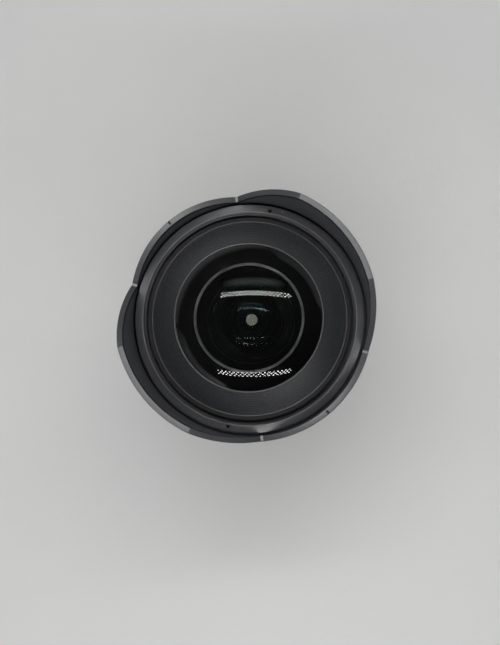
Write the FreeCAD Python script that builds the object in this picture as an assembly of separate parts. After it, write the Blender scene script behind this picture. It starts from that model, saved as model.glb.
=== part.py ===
import FreeCAD, Part
import math
import os

# An ultra wide-angle camera lens with a fixed petal hood. Millimetres and degrees.
# The lens stands on its rear rim at z = 0. +Z looks out of the front, +Y is the top of the picture.

# Driving dimensions shared by the whole lens
turning_gap = 0.3
running_clearance = 0.1
fit_clearance = 0.05
cell_wall = 1.6
edge_land = 1.2
retainer_length = 1.2
overshoot = 1.0
small_chamfer = 0.3

# Driving dimensions of the iris, which sets how wide the moving block is
blade_count = 7
stop_open_r = 9.0
stop_closed_r = 1.0
blade_band = 6.0
blade_span = 130.0
blade_thickness = 0.25
blade_pitch = 0.36
pivot_margin = 3.0
pivot_pin_r = 0.5
cam_pin_r = 0.6
cam_pin_step = 0.5
cam_pin_lag = 14.0
cam_pin_margin = 3.75
blade_tab_margin = 0.9
blade_tab_angle = 8.0
blade_tab_slant = 2.0
blade_tab_inset = 1.0
aperture_range = 40.0
cam_ring_thickness = 0.9
cam_slot_clearance = 0.12
cam_slot_steps = 5
housing_wall = 1.2
housing_plate = 1.2
iris_retainer_thickness = 0.6
iris_end_float = 0.3
iris_spacer_wall = 1.4
stop_plate_margin = 0.3
snap_margin = 4.0
fork_wall = 1.3
fork_length = 7.0
fork_finger_angle = 3.0
aperture_pin_r = 0.8
aperture_pin_angle = 250.0
aperture_pin_offset = 3.3
aperture_pin_cover = 0.3
iris_seat_offset = 3.1

# Driving dimensions of the moving lens block
carriage_wall = 2.4
carriage_step = 0.9
carriage_flare_length = 7.5
carriage_flare_setback = 1.1
carriage_step_drop = 5.8
carriage_tail = 5.8
pilot_rise = 2.0
flare_clearance = 0.6
groove_width = 0.8
rim_ring_width = 3.6
rim_ring_thickness = 3.4
rim_skirt_wall = 1.2
rim_skirt_length = 3.1
rim_bevel = 0.95
spanner_hole_r = 0.6
spanner_hole_depth = 1.5
spanner_angle = 129.5
spanner_hole_inset = 1.65
rim_rise = 3.0
cup_wall = 2.0
cup_depth = 5.0
bezel_width = 8.0
bezel_step_width = 1.45
bezel_cover = 1.65
bezel_drop = 0.2
bezel_rise = 2.55
bezel_skirt_wall = 2.0
bezel_crest_width = 0.65
bezel_lip_height = 0.15
bezel_plate = 1.6
cell_flange_thickness = 2.5

# Driving dimensions of the focusing drive
nut_wall = 2.4
nut_shoulder = 1.5
nut_shoulder_bevel = 1.5
nut_shoulder_gap = 0.4
nut_setback = 1.8
nut_length = 21.2
nut_retainer_length = 2.2
focus_range = 110.0
focus_travel = 1.8
drive_pin_r = 1.6
drive_pin_angle = 20.0
drive_pin_offset = 11.4
window_margin = 0.2
guide_key_width = 4.0
guide_key_length = 7.0
guide_key_bite = 1.8
guide_key_gap = 2.6
key_slot_margin = 1.0
key_slot_length = 11.0

# Driving dimensions of the fixed barrel, from the rear
rear_barrel_length = 15.8
rear_barrel_wall = 1.85
barrel_web = 2.8
barrel_hole_margin = 1.5
barrel_chamfer = 0.8
sleeve_wall = 1.5
sleeve_floor = 2.0
sleeve_floor_width = 4.0
aperture_ring_length = 8.7
aperture_ring_wall = 2.8
scale_ring_length = 5.0
focus_ring_length = 24.0
focus_ring_wall = 2.8
grip_thickness = 1.3
grip_length = 17.0
grip_offset = 4.2
focus_ring_chamfer = 0.5

# Driving dimensions of the rear mount
throat_gap = 1.7
collar_wall = 1.9
collar_length = 5.2
claw_reach = 1.4
claw_thickness = 1.6
claw_rise = 1.2
claw_count = 3
claw_angle = 58.0
claw_root = 0.5
flange_step = 1.0
flange_thickness = 3.0
seat_relief_width = 1.8
seat_relief_depth = 0.4
lock_hole_r = 1.3
lock_hole_depth = 1.6
lock_hole_inset = 2.8
lock_hole_angle = 62.0
mount_screw_count = 4
mount_screw_inset = 4.6
mount_screw_first = 45.0
baffle_thickness = 1.0
baffle_z = 0.8
baffle_window_x = 27.0
baffle_window_y = 20.0
baffle_corner_r = 3.0

# Driving dimensions of the front barrel and the hood
front_barrel_wall = 2.45
front_barrel_lap = 3.2
front_barrel_foot = 2.0
hood_seat_band = 1.2
hood_seat_height = 7.1
hood_gap = 0.8
hood_wall = 2.0
hood_flare_drop = 1.5
hood_flare_angle = 5.6
hood_height = 18.0
spigot_wall = 1.45
spigot_height = 6.2
hood_screw_count = 3
picture_half_width = 18.0
picture_half_height = 12.0
hood_view_distance = 15.0
notch_floor = 0.9
petal_curve_points = 9
cut_margin = 2.0
seam_overlap = 0.01
nick_r = 0.35

# Driving dimensions of the glass, from the front: a curve is positive where its middle bulges forward
front_glass_r = 26.6
front_glass_height = 8.3
front_glass_curve = 54.0
front_glass_thickness = 3.0
front_hollow_curve = 24.6
front_hollow_land = 0.5
second_glass_r = 16.5
second_front_land = 1.0
second_rear_land = 4.0
third_glass_r = 12.5
rear_pair_r = 11.5
rear_glass_r = 14.5
rear_tube_wall = 3.25
rear_cell_flange_thickness = 2.4
rear_cell_overhang = 3.8
front_cell_overhang = 1.5

# Worked-out radii, from the iris outwards
pivot_circle_r = stop_open_r + blade_band + pivot_margin
cam_pin_circle_r = pivot_circle_r + cam_pin_step
cam_ring_r = cam_pin_circle_r + cam_pin_margin
housing_bore_r = cam_ring_r + running_clearance
housing_r = housing_bore_r + housing_wall
carriage_bore_r = housing_r + fit_clearance
carriage_r = carriage_bore_r + carriage_wall
nut_bore_r = carriage_r + running_clearance
nut_r = nut_bore_r + nut_wall
sleeve_inner_r = nut_r + running_clearance
sleeve_r = sleeve_inner_r + sleeve_wall
sleeve_floor_r = sleeve_inner_r - sleeve_floor_width
ring_bore_r = sleeve_r + running_clearance
seat_bore_r = sleeve_r + fit_clearance
rear_barrel_r = seat_bore_r + rear_barrel_wall
scale_ring_r = rear_barrel_r
aperture_ring_r = ring_bore_r + aperture_ring_wall
focus_ring_r = ring_bore_r + focus_ring_wall
front_barrel_r = seat_bore_r + front_barrel_wall
flange_r = rear_barrel_r - flange_step
rear_bore_r = rear_glass_r + fit_clearance
rear_cell_tube_r = rear_bore_r + rear_tube_wall
throat_r = rear_cell_tube_r + throat_gap
bezel_bore_r = front_glass_r + fit_clearance
cup_bore_r = front_glass_r + bezel_width
cup_r = cup_bore_r + cup_wall
rim_ring_bore_r = cup_bore_r + groove_width
rim_ring_r = rim_ring_bore_r + rim_ring_width
hood_inner_r = rim_ring_r + hood_gap
hood_r = hood_inner_r + hood_wall

# Worked-out heights, from the rear rim to the hood's top
flange_front_z = collar_length + flange_thickness
sleeve_floor_z = flange_front_z + barrel_web
barrel_front_z = flange_front_z + rear_barrel_length
aperture_ring_z = barrel_front_z + turning_gap
scale_ring_z = aperture_ring_z + aperture_ring_length + turning_gap
focus_ring_z = scale_ring_z + scale_ring_length + turning_gap
front_barrel_z = focus_ring_z + focus_ring_length + turning_gap
sleeve_front_z = front_barrel_z + front_barrel_lap
nut_start_z = focus_ring_z + nut_setback
drive_pin_z = focus_ring_z + drive_pin_offset
aperture_pin_z = aperture_ring_z + aperture_pin_offset
iris_seat_z = aperture_pin_z + iris_seat_offset
carriage_step_z = aperture_pin_z - carriage_step_drop
carriage_rear_z = carriage_step_z - carriage_tail
guide_key_z = sleeve_floor_z + sleeve_floor + guide_key_gap
carriage_flare_z = sleeve_front_z - carriage_flare_setback
pilot_top_z = carriage_flare_z + pilot_rise
carriage_cup_z = carriage_flare_z + carriage_flare_length
hood_seat_z = front_barrel_z + hood_seat_height
carriage_cup_top = carriage_cup_z + cup_depth
rim_z = carriage_cup_top + rim_rise
rim_ring_z = rim_z - rim_ring_thickness
hood_top_z = rim_z + hood_height
bezel_top_z = rim_z - bezel_drop
front_glass_apex = rim_z + front_glass_height
blade_swing = 2 * math.degrees(math.asin((stop_open_r - stop_closed_r) / (2 * pivot_circle_r)))

axis = FreeCAD.Vector(0, 0, 1)
origin = FreeCAD.Vector(0, 0, 0)
os.makedirs("parts", exist_ok=True)


def save(name, *solids):
    """Write one node: a single solid, or a group of identical separate solids."""
    shape = solids[0] if len(solids) == 1 else Part.makeCompound(list(solids))
    shape.exportStep("parts/" + name + ".step")


def polar(radius, angle, z=0.0):
    turn = math.radians(angle)
    return FreeCAD.Vector(radius * math.cos(turn), radius * math.sin(turn), z)


def turned(*points):
    """A solid of revolution about the lens axis from (radius, z) points."""
    corners = [FreeCAD.Vector(r, 0, z) for r, z in points]
    outline = Part.makePolygon(corners + corners[:1])
    return Part.Face(outline).revolve(origin, axis, 360)


def ring(inner_r, outer_r, bottom, top):
    return turned((inner_r, bottom), (outer_r, bottom), (outer_r, top), (inner_r, top))


def sector(inner_r, outer_r, bottom, top, start, sweep):
    """A piece of a ring that begins at the start angle and turns through the sweep."""
    corners = [(inner_r, bottom), (outer_r, bottom), (outer_r, top), (inner_r, top)]
    points = [polar(r, start, z) for r, z in corners]
    return Part.Face(Part.makePolygon(points + points[:1])).revolve(origin, axis, sweep)


def around(shape, angle):
    copy = shape.copy()
    copy.rotate(origin, axis, angle)
    return copy


def pattern(shape, count, first=0.0):
    return [around(shape, first + 360.0 * i / count) for i in range(count)]


def radial_bar(radius, inner_r, outer_r, z, angle=0.0):
    """A round bar that points at the lens axis."""
    return Part.makeCylinder(radius, outer_r - inner_r, polar(inner_r, angle, z), polar(1, angle))


def upright_bar(radius, bottom, top, place):
    return Part.makeCylinder(radius, top - bottom, FreeCAD.Vector(place.x, place.y, bottom), axis)


def sag(curve, r):
    """How far a glass surface has fallen back from its apex at radius r."""
    return math.copysign(abs(curve) - math.sqrt(curve * curve - r * r), curve)


def glass(edge_r, front_apex, front_curve, front_r, rear_apex, rear_curve, rear_r):
    """A lens element with two spherical surfaces, flat at the edge where it is clamped."""

    def cap(apex, curve, clear_r):
        middle = FreeCAD.Vector(clear_r / 2, 0, apex - sag(curve, clear_r / 2))
        rim = FreeCAD.Vector(clear_r, 0, apex - sag(curve, clear_r))
        return Part.Arc(FreeCAD.Vector(0, 0, apex), middle, rim).toShape(), rim

    front, front_rim = cap(front_apex, front_curve, front_r)
    rear, rear_rim = cap(rear_apex, rear_curve, rear_r)
    front_edge = FreeCAD.Vector(edge_r, 0, front_rim.z)
    rear_edge = FreeCAD.Vector(edge_r, 0, rear_rim.z)
    path = [front_rim, front_edge, rear_edge, rear_rim]
    sides = [Part.makeLine(a, b) for a, b in zip(path, path[1:]) if a.distanceToPoint(b) > 1e-6]
    spine = Part.makeLine(FreeCAD.Vector(0, 0, rear_apex), FreeCAD.Vector(0, 0, front_apex))
    outline = Part.Wire(Part.__sortEdges__([front, *sides, rear, spine]))
    return Part.Face(outline).revolve(origin, axis, 360)


def fluted_ring(inner_r, outer_r, bottom, top, count, depth, land):
    """A grip ring: flat-bottomed grooves run along the axis, and land is the rib's share of the pitch."""
    pitch = 360.0 / count
    floor_r = outer_r - depth
    edges = []
    for i in range(count):
        start = i * pitch
        land_end = start + pitch * land
        for r, a, b in ((outer_r, start, land_end), (floor_r, land_end, start + pitch)):
            edges.append(Part.Arc(polar(r, a, bottom), polar(r, (a + b) / 2, bottom), polar(r, b, bottom)).toShape())
        edges.append(Part.makeLine(polar(outer_r, land_end, bottom), polar(floor_r, land_end, bottom)))
        edges.append(Part.makeLine(polar(floor_r, start + pitch, bottom), polar(outer_r, start + pitch, bottom)))
    outline = Part.Wire(Part.__sortEdges__(edges))
    body = Part.Face(outline).extrude(FreeCAD.Vector(0, 0, top - bottom))
    return body.cut(Part.makeCylinder(inner_r, top - bottom, FreeCAD.Vector(0, 0, bottom), axis))


# Rear mount: a turned collar and flange with three bayonet claws, four countersunk screws and a lock hole
screw_head_r = 1.9
screw_shank_r = 1.0
screw_head_depth = 1.1
screw_sink = 0.1
mount_screw_tip_gap = 0.6
mount_screw_length = flange_thickness + barrel_web - mount_screw_tip_gap
screw_recess_r = 0.55
screw_recess_depth = 0.6


def countersunk_screw(place, direction, length, grow=0.0):
    """A countersunk screw whose flat head faces back along its direction. grow widens it into its own hole."""
    head = Part.makeCone(screw_head_r + grow, screw_shank_r + grow, screw_head_depth, place, direction)
    shank_start = place + direction * screw_head_depth
    shank = Part.makeCylinder(screw_shank_r + grow, length - screw_head_depth + grow, shank_start, direction)
    body = head.fuse(shank)
    if grow:
        outside = place - direction * screw_sink * 2
        mouth = Part.makeCylinder(screw_head_r + grow, screw_sink * 2, outside, direction)
        return body.fuse(mouth).removeSplitter()
    recess = Part.makeCylinder(screw_recess_r, screw_recess_depth, place, direction)
    return body.cut(recess).removeSplitter()


def mount_screw(angle, grow=0.0):
    place = polar(flange_r - mount_screw_inset, angle, collar_length + screw_sink)
    return countersunk_screw(place, axis, mount_screw_length, grow)


mount_screw_angles = [mount_screw_first + 360.0 * i / mount_screw_count for i in range(mount_screw_count)]
collar_r = throat_r + collar_wall
claw_r = collar_r + claw_reach
claw = sector(collar_r - claw_root, claw_r, claw_rise, claw_rise + claw_thickness, -claw_angle / 2, claw_angle)
mount = turned(
    (throat_r, 0),
    (collar_r, 0),
    (collar_r, collar_length + seat_relief_depth),
    (collar_r + seat_relief_width, collar_length + seat_relief_depth),
    (collar_r + seat_relief_width, collar_length),
    (flange_r, collar_length),
    (flange_r, flange_front_z),
    (throat_r, flange_front_z),
)
mount = mount.fuse(pattern(claw, claw_count, 90.0)).removeSplitter()
lock_hole_place = polar(flange_r - lock_hole_inset, lock_hole_angle, collar_length)
lock_hole = Part.makeCylinder(lock_hole_r, lock_hole_depth, lock_hole_place, axis)
mount = mount.cut([lock_hole] + [mount_screw(a, fit_clearance) for a in mount_screw_angles])
save("bayonet_mount", mount)
save("mount_screws", *[mount_screw(a) for a in mount_screw_angles])

# Rear baffle: a thin black disc in the throat with a rounded rectangular window
baffle = Part.makeCylinder(throat_r - fit_clearance, baffle_thickness, FreeCAD.Vector(0, 0, baffle_z), axis)
window = Part.makeBox(
    baffle_window_x,
    baffle_window_y,
    baffle_thickness * 3,
    FreeCAD.Vector(-baffle_window_x / 2, -baffle_window_y / 2, baffle_z - baffle_thickness),
)
upright_edges = [e for e in window.Edges if abs(e.tangentAt(e.FirstParameter).z) > 0.9]
window = window.makeFillet(baffle_corner_r, upright_edges)
save("rear_baffle", baffle.cut(window))

# Rear barrel: a cup with a web that the mount screws bite into, an index bead and the click ball's bore
index_bead_r = 1.3
index_bead_rise = 4.2
index_bead_z = flange_front_z + index_bead_rise
index_bead_proud = 0.35
index_bead_depth = 0.9
click_ball_r = 0.6
click_circle_r = (seat_bore_r + rear_barrel_r) / 2
click_angle = 200.0
click_bore_depth = 5.0
click_wire_r = 0.11
click_turns = 6
barrel_hole_r = throat_r + barrel_hole_margin
rear_barrel = turned(
    (barrel_hole_r, flange_front_z),
    (rear_barrel_r - barrel_chamfer, flange_front_z),
    (rear_barrel_r, flange_front_z + 2 * barrel_chamfer),
    (rear_barrel_r, flange_front_z + rear_barrel_length),
    (seat_bore_r, flange_front_z + rear_barrel_length),
    (seat_bore_r, sleeve_floor_z),
    (barrel_hole_r, sleeve_floor_z),
)
click_place = polar(click_circle_r, click_angle)
click_bore_z = barrel_front_z - click_bore_depth
click_bore = upright_bar(click_ball_r + fit_clearance, click_bore_z, barrel_front_z + overshoot, click_place)
bead_place = polar(rear_barrel_r - index_bead_depth, 90.0, index_bead_z)
bead_seat = Part.makeCylinder(index_bead_r, index_bead_depth + overshoot, bead_place, polar(1, 90.0))
sleeve_screw_count = 3
sleeve_screw_r = 1.0
sleeve_screw_head_r = 1.7
sleeve_screw_head = 1.2
sleeve_screw_bite = 2.2
sleeve_screw_slot = 0.5
sleeve_screw_first = 0.0
sleeve_screw_circle_r = (sleeve_floor_r + sleeve_inner_r) / 2


def sleeve_screw(grow=0.0):
    top = sleeve_floor_z + sleeve_floor
    place = polar(sleeve_screw_circle_r, sleeve_screw_first)
    shank = upright_bar(sleeve_screw_r + grow, sleeve_floor_z - sleeve_screw_bite - grow, top, place)
    if grow:
        return shank
    head = upright_bar(sleeve_screw_head_r, top, top + sleeve_screw_head, place)
    slot = Part.makeBox(2 * sleeve_screw_head_r, sleeve_screw_slot, sleeve_screw_slot)
    slot_floor = top + sleeve_screw_head - sleeve_screw_slot
    slot.translate(place + FreeCAD.Vector(-sleeve_screw_head_r, -sleeve_screw_slot / 2, slot_floor))
    return shank.fuse(head).cut(slot)


bores = [click_bore, bead_seat]
bores += [mount_screw(a, fit_clearance) for a in mount_screw_angles]
bores += pattern(sleeve_screw(fit_clearance), sleeve_screw_count)
save("rear_barrel", rear_barrel.cut(bores))
save("sleeve_screws", *pattern(sleeve_screw(), sleeve_screw_count))

bead_r = index_bead_r - fit_clearance
bead_body = Part.makeCylinder(bead_r, index_bead_depth, bead_place, polar(1, 90.0))
bead_blank = Part.makeCylinder(bead_r, index_bead_depth + index_bead_proud, bead_place, polar(1, 90.0))
bead_curve = (index_bead_r**2 + index_bead_proud**2) / (2 * index_bead_proud)
bead_dome = Part.makeSphere(bead_curve, polar(rear_barrel_r + index_bead_proud - bead_curve, 90.0, index_bead_z))
save("index_bead", bead_blank.common(bead_dome.fuse(bead_body)).removeSplitter())

# Click ball and its spring: they feel for the notches in the rear of the aperture ring
ball_centre_z = barrel_front_z + turning_gap - fit_clearance - click_ball_r
spring_bottom = click_bore_z + click_wire_r
spring_top = ball_centre_z - click_ball_r - click_wire_r
spring_coil_r = click_ball_r - click_wire_r
helix = Part.makeHelix((spring_top - spring_bottom) / click_turns, spring_top - spring_bottom, spring_coil_r)
wire_end = Part.makeCircle(click_wire_r, FreeCAD.Vector(spring_coil_r, 0, 0), FreeCAD.Vector(0, 1, 0))
spring = Part.Wire(helix.Edges).makePipeShell([Part.Wire([wire_end])], True, True)
spring.translate(FreeCAD.Vector(click_place.x, click_place.y, spring_bottom))
save("click_ball", Part.makeSphere(click_ball_r, FreeCAD.Vector(click_place.x, click_place.y, ball_centre_z)))
save("click_spring", spring)

# Main sleeve: the fixed inner tube that everything turns on, with windows for the drive pins and the key
drive_pin_half_angle = math.degrees((drive_pin_r + window_margin) / sleeve_r)
aperture_pin_half_angle = math.degrees((aperture_pin_r + window_margin) / carriage_bore_r)
shoulder_r = carriage_r + nut_shoulder_gap
sleeve = turned(
    (sleeve_floor_r, sleeve_floor_z),
    (sleeve_r, sleeve_floor_z),
    (sleeve_r, sleeve_front_z),
    (sleeve_inner_r, sleeve_front_z),
    (sleeve_inner_r, nut_start_z - fit_clearance),
    (shoulder_r, nut_start_z - fit_clearance),
    (shoulder_r, nut_start_z - nut_shoulder),
    (sleeve_inner_r, nut_start_z - nut_shoulder - nut_shoulder_bevel),
    (sleeve_inner_r, sleeve_floor_z + sleeve_floor),
    (sleeve_floor_r, sleeve_floor_z + sleeve_floor),
)
drive_windows = [
    sector(
        sleeve_inner_r - overshoot,
        sleeve_r + overshoot,
        drive_pin_z - drive_pin_r - window_margin,
        drive_pin_z + drive_pin_r + window_margin,
        drive_pin_angle + side - drive_pin_half_angle,
        focus_range + 2 * drive_pin_half_angle,
    )
    for side in (0.0, 180.0)
]
aperture_window_sleeve = sector(
    sleeve_inner_r - overshoot,
    sleeve_r + overshoot,
    aperture_pin_z - aperture_pin_r - window_margin,
    aperture_pin_z + aperture_pin_r + window_margin,
    aperture_pin_angle - aperture_pin_half_angle,
    aperture_range + 2 * aperture_pin_half_angle,
)
key_inner_r = carriage_r - guide_key_bite
key_blank = Part.makeBox(
    guide_key_width,
    sleeve_r - key_inner_r - fit_clearance,
    guide_key_length,
    FreeCAD.Vector(-guide_key_width / 2, key_inner_r, guide_key_z),
)
key = key_blank.common(Part.makeCylinder(sleeve_r - fit_clearance, guide_key_z + guide_key_length))
key_seat = Part.makeBox(
    guide_key_width + 2 * fit_clearance,
    sleeve_floor_width + sleeve_wall + overshoot,
    guide_key_length + 2 * fit_clearance,
    FreeCAD.Vector(-guide_key_width / 2 - fit_clearance, sleeve_floor_r, guide_key_z - fit_clearance),
)
sleeve_holes = drive_windows + [aperture_window_sleeve, key_seat]
sleeve_holes += pattern(sleeve_screw(fit_clearance), sleeve_screw_count)

# Grub screws hold the scale ring and the front barrel on the sleeve
grub_r = 0.9
grub_count = 3
grub_sink = 0.3
grub_bite = 1.1
grub_socket_r = 0.45
grub_socket_depth = 0.7
barrel_grub_offset = 1.6
grub_first = 90.0
scale_grub_z = scale_ring_z + scale_ring_length / 2
barrel_grub_z = front_barrel_z + barrel_grub_offset


def grub(z, outer_r, angle, grow=0.0):
    """A headless screw with a hexagon socket, or its threaded hole when it grows."""
    foot_r = sleeve_r - grub_bite
    if grow:
        return radial_bar(grub_r + grow, foot_r - grow, outer_r + 2 * overshoot, z, angle)
    head_r = outer_r - grub_sink
    return radial_bar(grub_r, foot_r, head_r, z, angle).cut(
        radial_bar(grub_socket_r, head_r - grub_socket_depth, outer_r, z, angle)
    )


grub_angles = [grub_first + 360.0 * i / grub_count for i in range(grub_count)]
scale_grub_holes = [grub(scale_grub_z, scale_ring_r, a, fit_clearance) for a in grub_angles]
barrel_grub_holes = [grub(barrel_grub_z, front_barrel_r, a, fit_clearance) for a in grub_angles]
save("main_sleeve", sleeve.cut(sleeve_holes + scale_grub_holes + barrel_grub_holes))
save("guide_key", key)
grubs = [grub(scale_grub_z, scale_ring_r, a) for a in grub_angles]
grubs += [grub(barrel_grub_z, front_barrel_r, a) for a in grub_angles]
save("grub_screws", *grubs)

# Aperture ring: fluted, with a click notch for each stop, and the pin that reaches in to the iris fork
aperture_flutes = 36
aperture_flute_depth = 0.9
aperture_land = 0.62
stop_count = 7
notch_r = 0.42
notch_depth = 0.3
aperture_band = 3.4
aperture_grip = fluted_ring(
    ring_bore_r,
    aperture_ring_r,
    aperture_ring_z,
    aperture_ring_z + aperture_ring_length - aperture_band,
    aperture_flutes,
    aperture_flute_depth,
    aperture_land,
)
aperture_top = aperture_ring_z + aperture_ring_length
aperture_plain = turned(
    (ring_bore_r, aperture_top - aperture_band),
    (aperture_ring_r, aperture_top - aperture_band),
    (scale_ring_r, aperture_top),
    (ring_bore_r, aperture_top),
)
click_notch = upright_bar(notch_r, aperture_ring_z - overshoot, aperture_ring_z + notch_depth, click_place)
click_notches = [around(click_notch, -aperture_range * i / (stop_count - 1)) for i in range(stop_count)]
aperture_pin_outer_r = aperture_ring_r - aperture_flute_depth - aperture_pin_cover
aperture_pin_bore = radial_bar(
    aperture_pin_r + fit_clearance, sleeve_r - overshoot, aperture_pin_outer_r, aperture_pin_z, aperture_pin_angle
)
aperture_ring = aperture_grip.fuse(aperture_plain).cut(click_notches + [aperture_pin_bore])
save("aperture_ring", aperture_ring)

# Scale ring: fixed between the two turning rings, it carries the index and the depth scale
scale_ring = ring(seat_bore_r, scale_ring_r, scale_ring_z, scale_ring_z + scale_ring_length)
save("scale_ring", scale_ring.cut(scale_grub_holes))

# Focus ring with its rubber grip, the nut inside the sleeve and the two pins that join them
focus_front_z = focus_ring_z + focus_ring_length
grip_z = focus_ring_z + grip_offset
grip_count = 60
grip_groove = 0.7
grip_land = 0.6
pin_foot_r = (nut_r + nut_bore_r) / 2
drive_pin_sides = [drive_pin_angle, drive_pin_angle + 180.0]
focus_ring = turned(
    (ring_bore_r, focus_ring_z),
    (focus_ring_r - focus_ring_chamfer, focus_ring_z),
    (focus_ring_r, focus_ring_z + focus_ring_chamfer),
    (focus_ring_r, focus_front_z - focus_ring_chamfer),
    (focus_ring_r - focus_ring_chamfer, focus_front_z),
    (ring_bore_r, focus_front_z),
)
focus_pin_holes = [
    radial_bar(drive_pin_r + fit_clearance, pin_foot_r, focus_ring_r + overshoot, drive_pin_z, side)
    for side in drive_pin_sides
]
focus_pins = [
    radial_bar(drive_pin_r, pin_foot_r, focus_ring_r - fit_clearance, drive_pin_z, side)
    for side in drive_pin_sides
]
save("focus_ring", focus_ring.cut(focus_pin_holes))
focus_grip = fluted_ring(
    focus_ring_r + fit_clearance,
    focus_ring_r + grip_thickness,
    grip_z,
    grip_z + grip_length,
    grip_count,
    grip_groove,
    grip_land,
)
save("focus_grip", focus_grip)
save("focus_drive_pins", *focus_pins)
helicoid_nut = ring(nut_bore_r, nut_r, nut_start_z, nut_start_z + nut_length)
save("helicoid_nut", helicoid_nut.cut(focus_pin_holes))
nut_retainer_z = nut_start_z + nut_length + fit_clearance
save(
    "nut_retainer",
    ring(shoulder_r, sleeve_inner_r - fit_clearance, nut_retainer_z, nut_retainer_z + nut_retainer_length),
)

# Front barrel: it flares from the sleeve to the spigot that the hood sits on
spigot_r = hood_inner_r - fit_clearance
spigot_bore_r = spigot_r - spigot_wall
spigot_top_z = hood_seat_z + spigot_height
flare_foot_z = front_barrel_z + front_barrel_foot
front_barrel = turned(
    (seat_bore_r, front_barrel_z),
    (front_barrel_r, front_barrel_z),
    (front_barrel_r, flare_foot_z),
    (hood_r, hood_seat_z - hood_seat_band),
    (hood_r, hood_seat_z),
    (spigot_r, hood_seat_z),
    (spigot_r, spigot_top_z),
    (spigot_bore_r, spigot_top_z),
    (spigot_bore_r, carriage_cup_z + flare_clearance),
    (seat_bore_r, sleeve_front_z + fit_clearance),
)
hood_screw_z = hood_seat_z + spigot_height / 2
hood_screw_length = 3.0
hood_screw_angles = [grub_first + 60.0 + 360.0 * i / hood_screw_count for i in range(hood_screw_count)]


def hood_screw(angle, grow=0.0):
    place = polar(hood_r - screw_sink, angle, hood_screw_z)
    return countersunk_screw(place, polar(-1, angle), hood_screw_length, grow)


hood_screw_holes = [hood_screw(a, fit_clearance) for a in hood_screw_angles]
save("front_barrel", front_barrel.cut(barrel_grub_holes + hood_screw_holes))
save("hood_screws", *[hood_screw(a) for a in hood_screw_angles])

# Petal hood: a flared tube whose edge follows the rectangular picture's view, so its notches lie on the diagonals
hood_flare_start = rim_z - hood_flare_drop
flare = math.tan(math.radians(hood_flare_angle))
top_spread = (hood_top_z - hood_flare_start) * flare
tube = turned(
    (hood_inner_r, hood_seat_z),
    (hood_r, hood_seat_z),
    (hood_r, hood_flare_start),
    (hood_r + top_spread, hood_top_z),
    (hood_inner_r + top_spread, hood_top_z),
    (hood_inner_r, hood_flare_start),
)
picture_diagonal = math.hypot(picture_half_width, picture_half_height)
wall_middle_r = (hood_inner_r + hood_r) / 2 + (rim_z - hood_flare_start) * flare
view_apex_z = rim_z - wall_middle_r * hood_view_distance / picture_diagonal
notch_angle = math.degrees(math.atan2(picture_half_height, picture_half_width))
notch_half = math.degrees(notch_floor / 2 / wall_middle_r)
cut_inner_r = hood_inner_r - cut_margin
cut_outer_r = hood_r + top_spread + cut_margin


def petal_cut(middle, half_angle, half_side):
    """Everything above one petal's edge, whose height is where the view pyramid's side meets the wall."""

    def edge(r):
        points = []
        for i in range(petal_curve_points):
            turn = half_angle * (2 * i / (petal_curve_points - 1) - 1)
            rise = wall_middle_r * math.cos(math.radians(turn)) * hood_view_distance / half_side
            points.append(polar(r, middle + turn, view_apex_z + rise))
        curve = Part.BSplineCurve()
        curve.interpolate(points)
        return curve.toShape()

    return Part.makeRuledSurface(edge(cut_inner_r), edge(cut_outer_r)).extrude(FreeCAD.Vector(0, 0, 2 * hood_height))


small_half = notch_angle - notch_half
large_half = 90.0 - notch_angle - notch_half
petal_cuts = [petal_cut(side, small_half, picture_half_width) for side in (0.0, 180.0)]
petal_cuts += [petal_cut(side, large_half, picture_half_height) for side in (90.0, 270.0)]
notch_z = view_apex_z + wall_middle_r * math.cos(math.radians(small_half)) * hood_view_distance / picture_half_width
notch_sweep = 2 * (notch_half + seam_overlap)
notch_starts = [notch_angle, 180.0 - notch_angle, 180.0 + notch_angle, 360.0 - notch_angle]
notch_cuts = [
    sector(cut_inner_r, cut_outer_r, notch_z, hood_top_z + overshoot, start - notch_sweep / 2, notch_sweep)
    for start in notch_starts
]
small_petal_z = view_apex_z + wall_middle_r * hood_view_distance / picture_half_width
nicks = [radial_bar(nick_r, cut_inner_r, cut_outer_r, small_petal_z, side) for side in (0.0, 180.0)]
hood = tube.cut(petal_cuts).cut(notch_cuts).cut(nicks + hood_screw_holes)
save("lens_hood", hood)

# Lens carriage: the moving tube, keyed against turning, flaring to the cup that holds the front group
carriage_step_r = carriage_bore_r - carriage_step
carriage = turned(
    (carriage_bore_r, carriage_rear_z),
    (carriage_r, carriage_rear_z),
    (carriage_r, carriage_flare_z),
    (cup_r, carriage_cup_z),
    (cup_r, carriage_cup_top),
    (cup_bore_r, carriage_cup_top),
    (cup_bore_r, carriage_cup_z),
    (carriage_bore_r, pilot_top_z),
    (carriage_bore_r, iris_seat_z),
    (carriage_step_r, iris_seat_z),
    (carriage_step_r, carriage_step_z),
    (carriage_bore_r, carriage_step_z),
)
key_slot_x = -guide_key_width / 2 - running_clearance
key_slot = Part.makeBox(
    guide_key_width + 2 * running_clearance,
    carriage_wall * 2,
    key_slot_length,
    FreeCAD.Vector(key_slot_x, key_inner_r - running_clearance, guide_key_z - key_slot_margin),
)
aperture_window_carriage = sector(
    carriage_step_r - overshoot,
    carriage_r + overshoot,
    aperture_pin_z - focus_travel - aperture_pin_r - 2 * window_margin,
    aperture_pin_z + aperture_pin_r + 2 * window_margin,
    aperture_pin_angle - aperture_pin_half_angle,
    aperture_range + 2 * aperture_pin_half_angle,
)
save("lens_carriage", carriage.cut([key_slot, aperture_window_carriage]))

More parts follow.
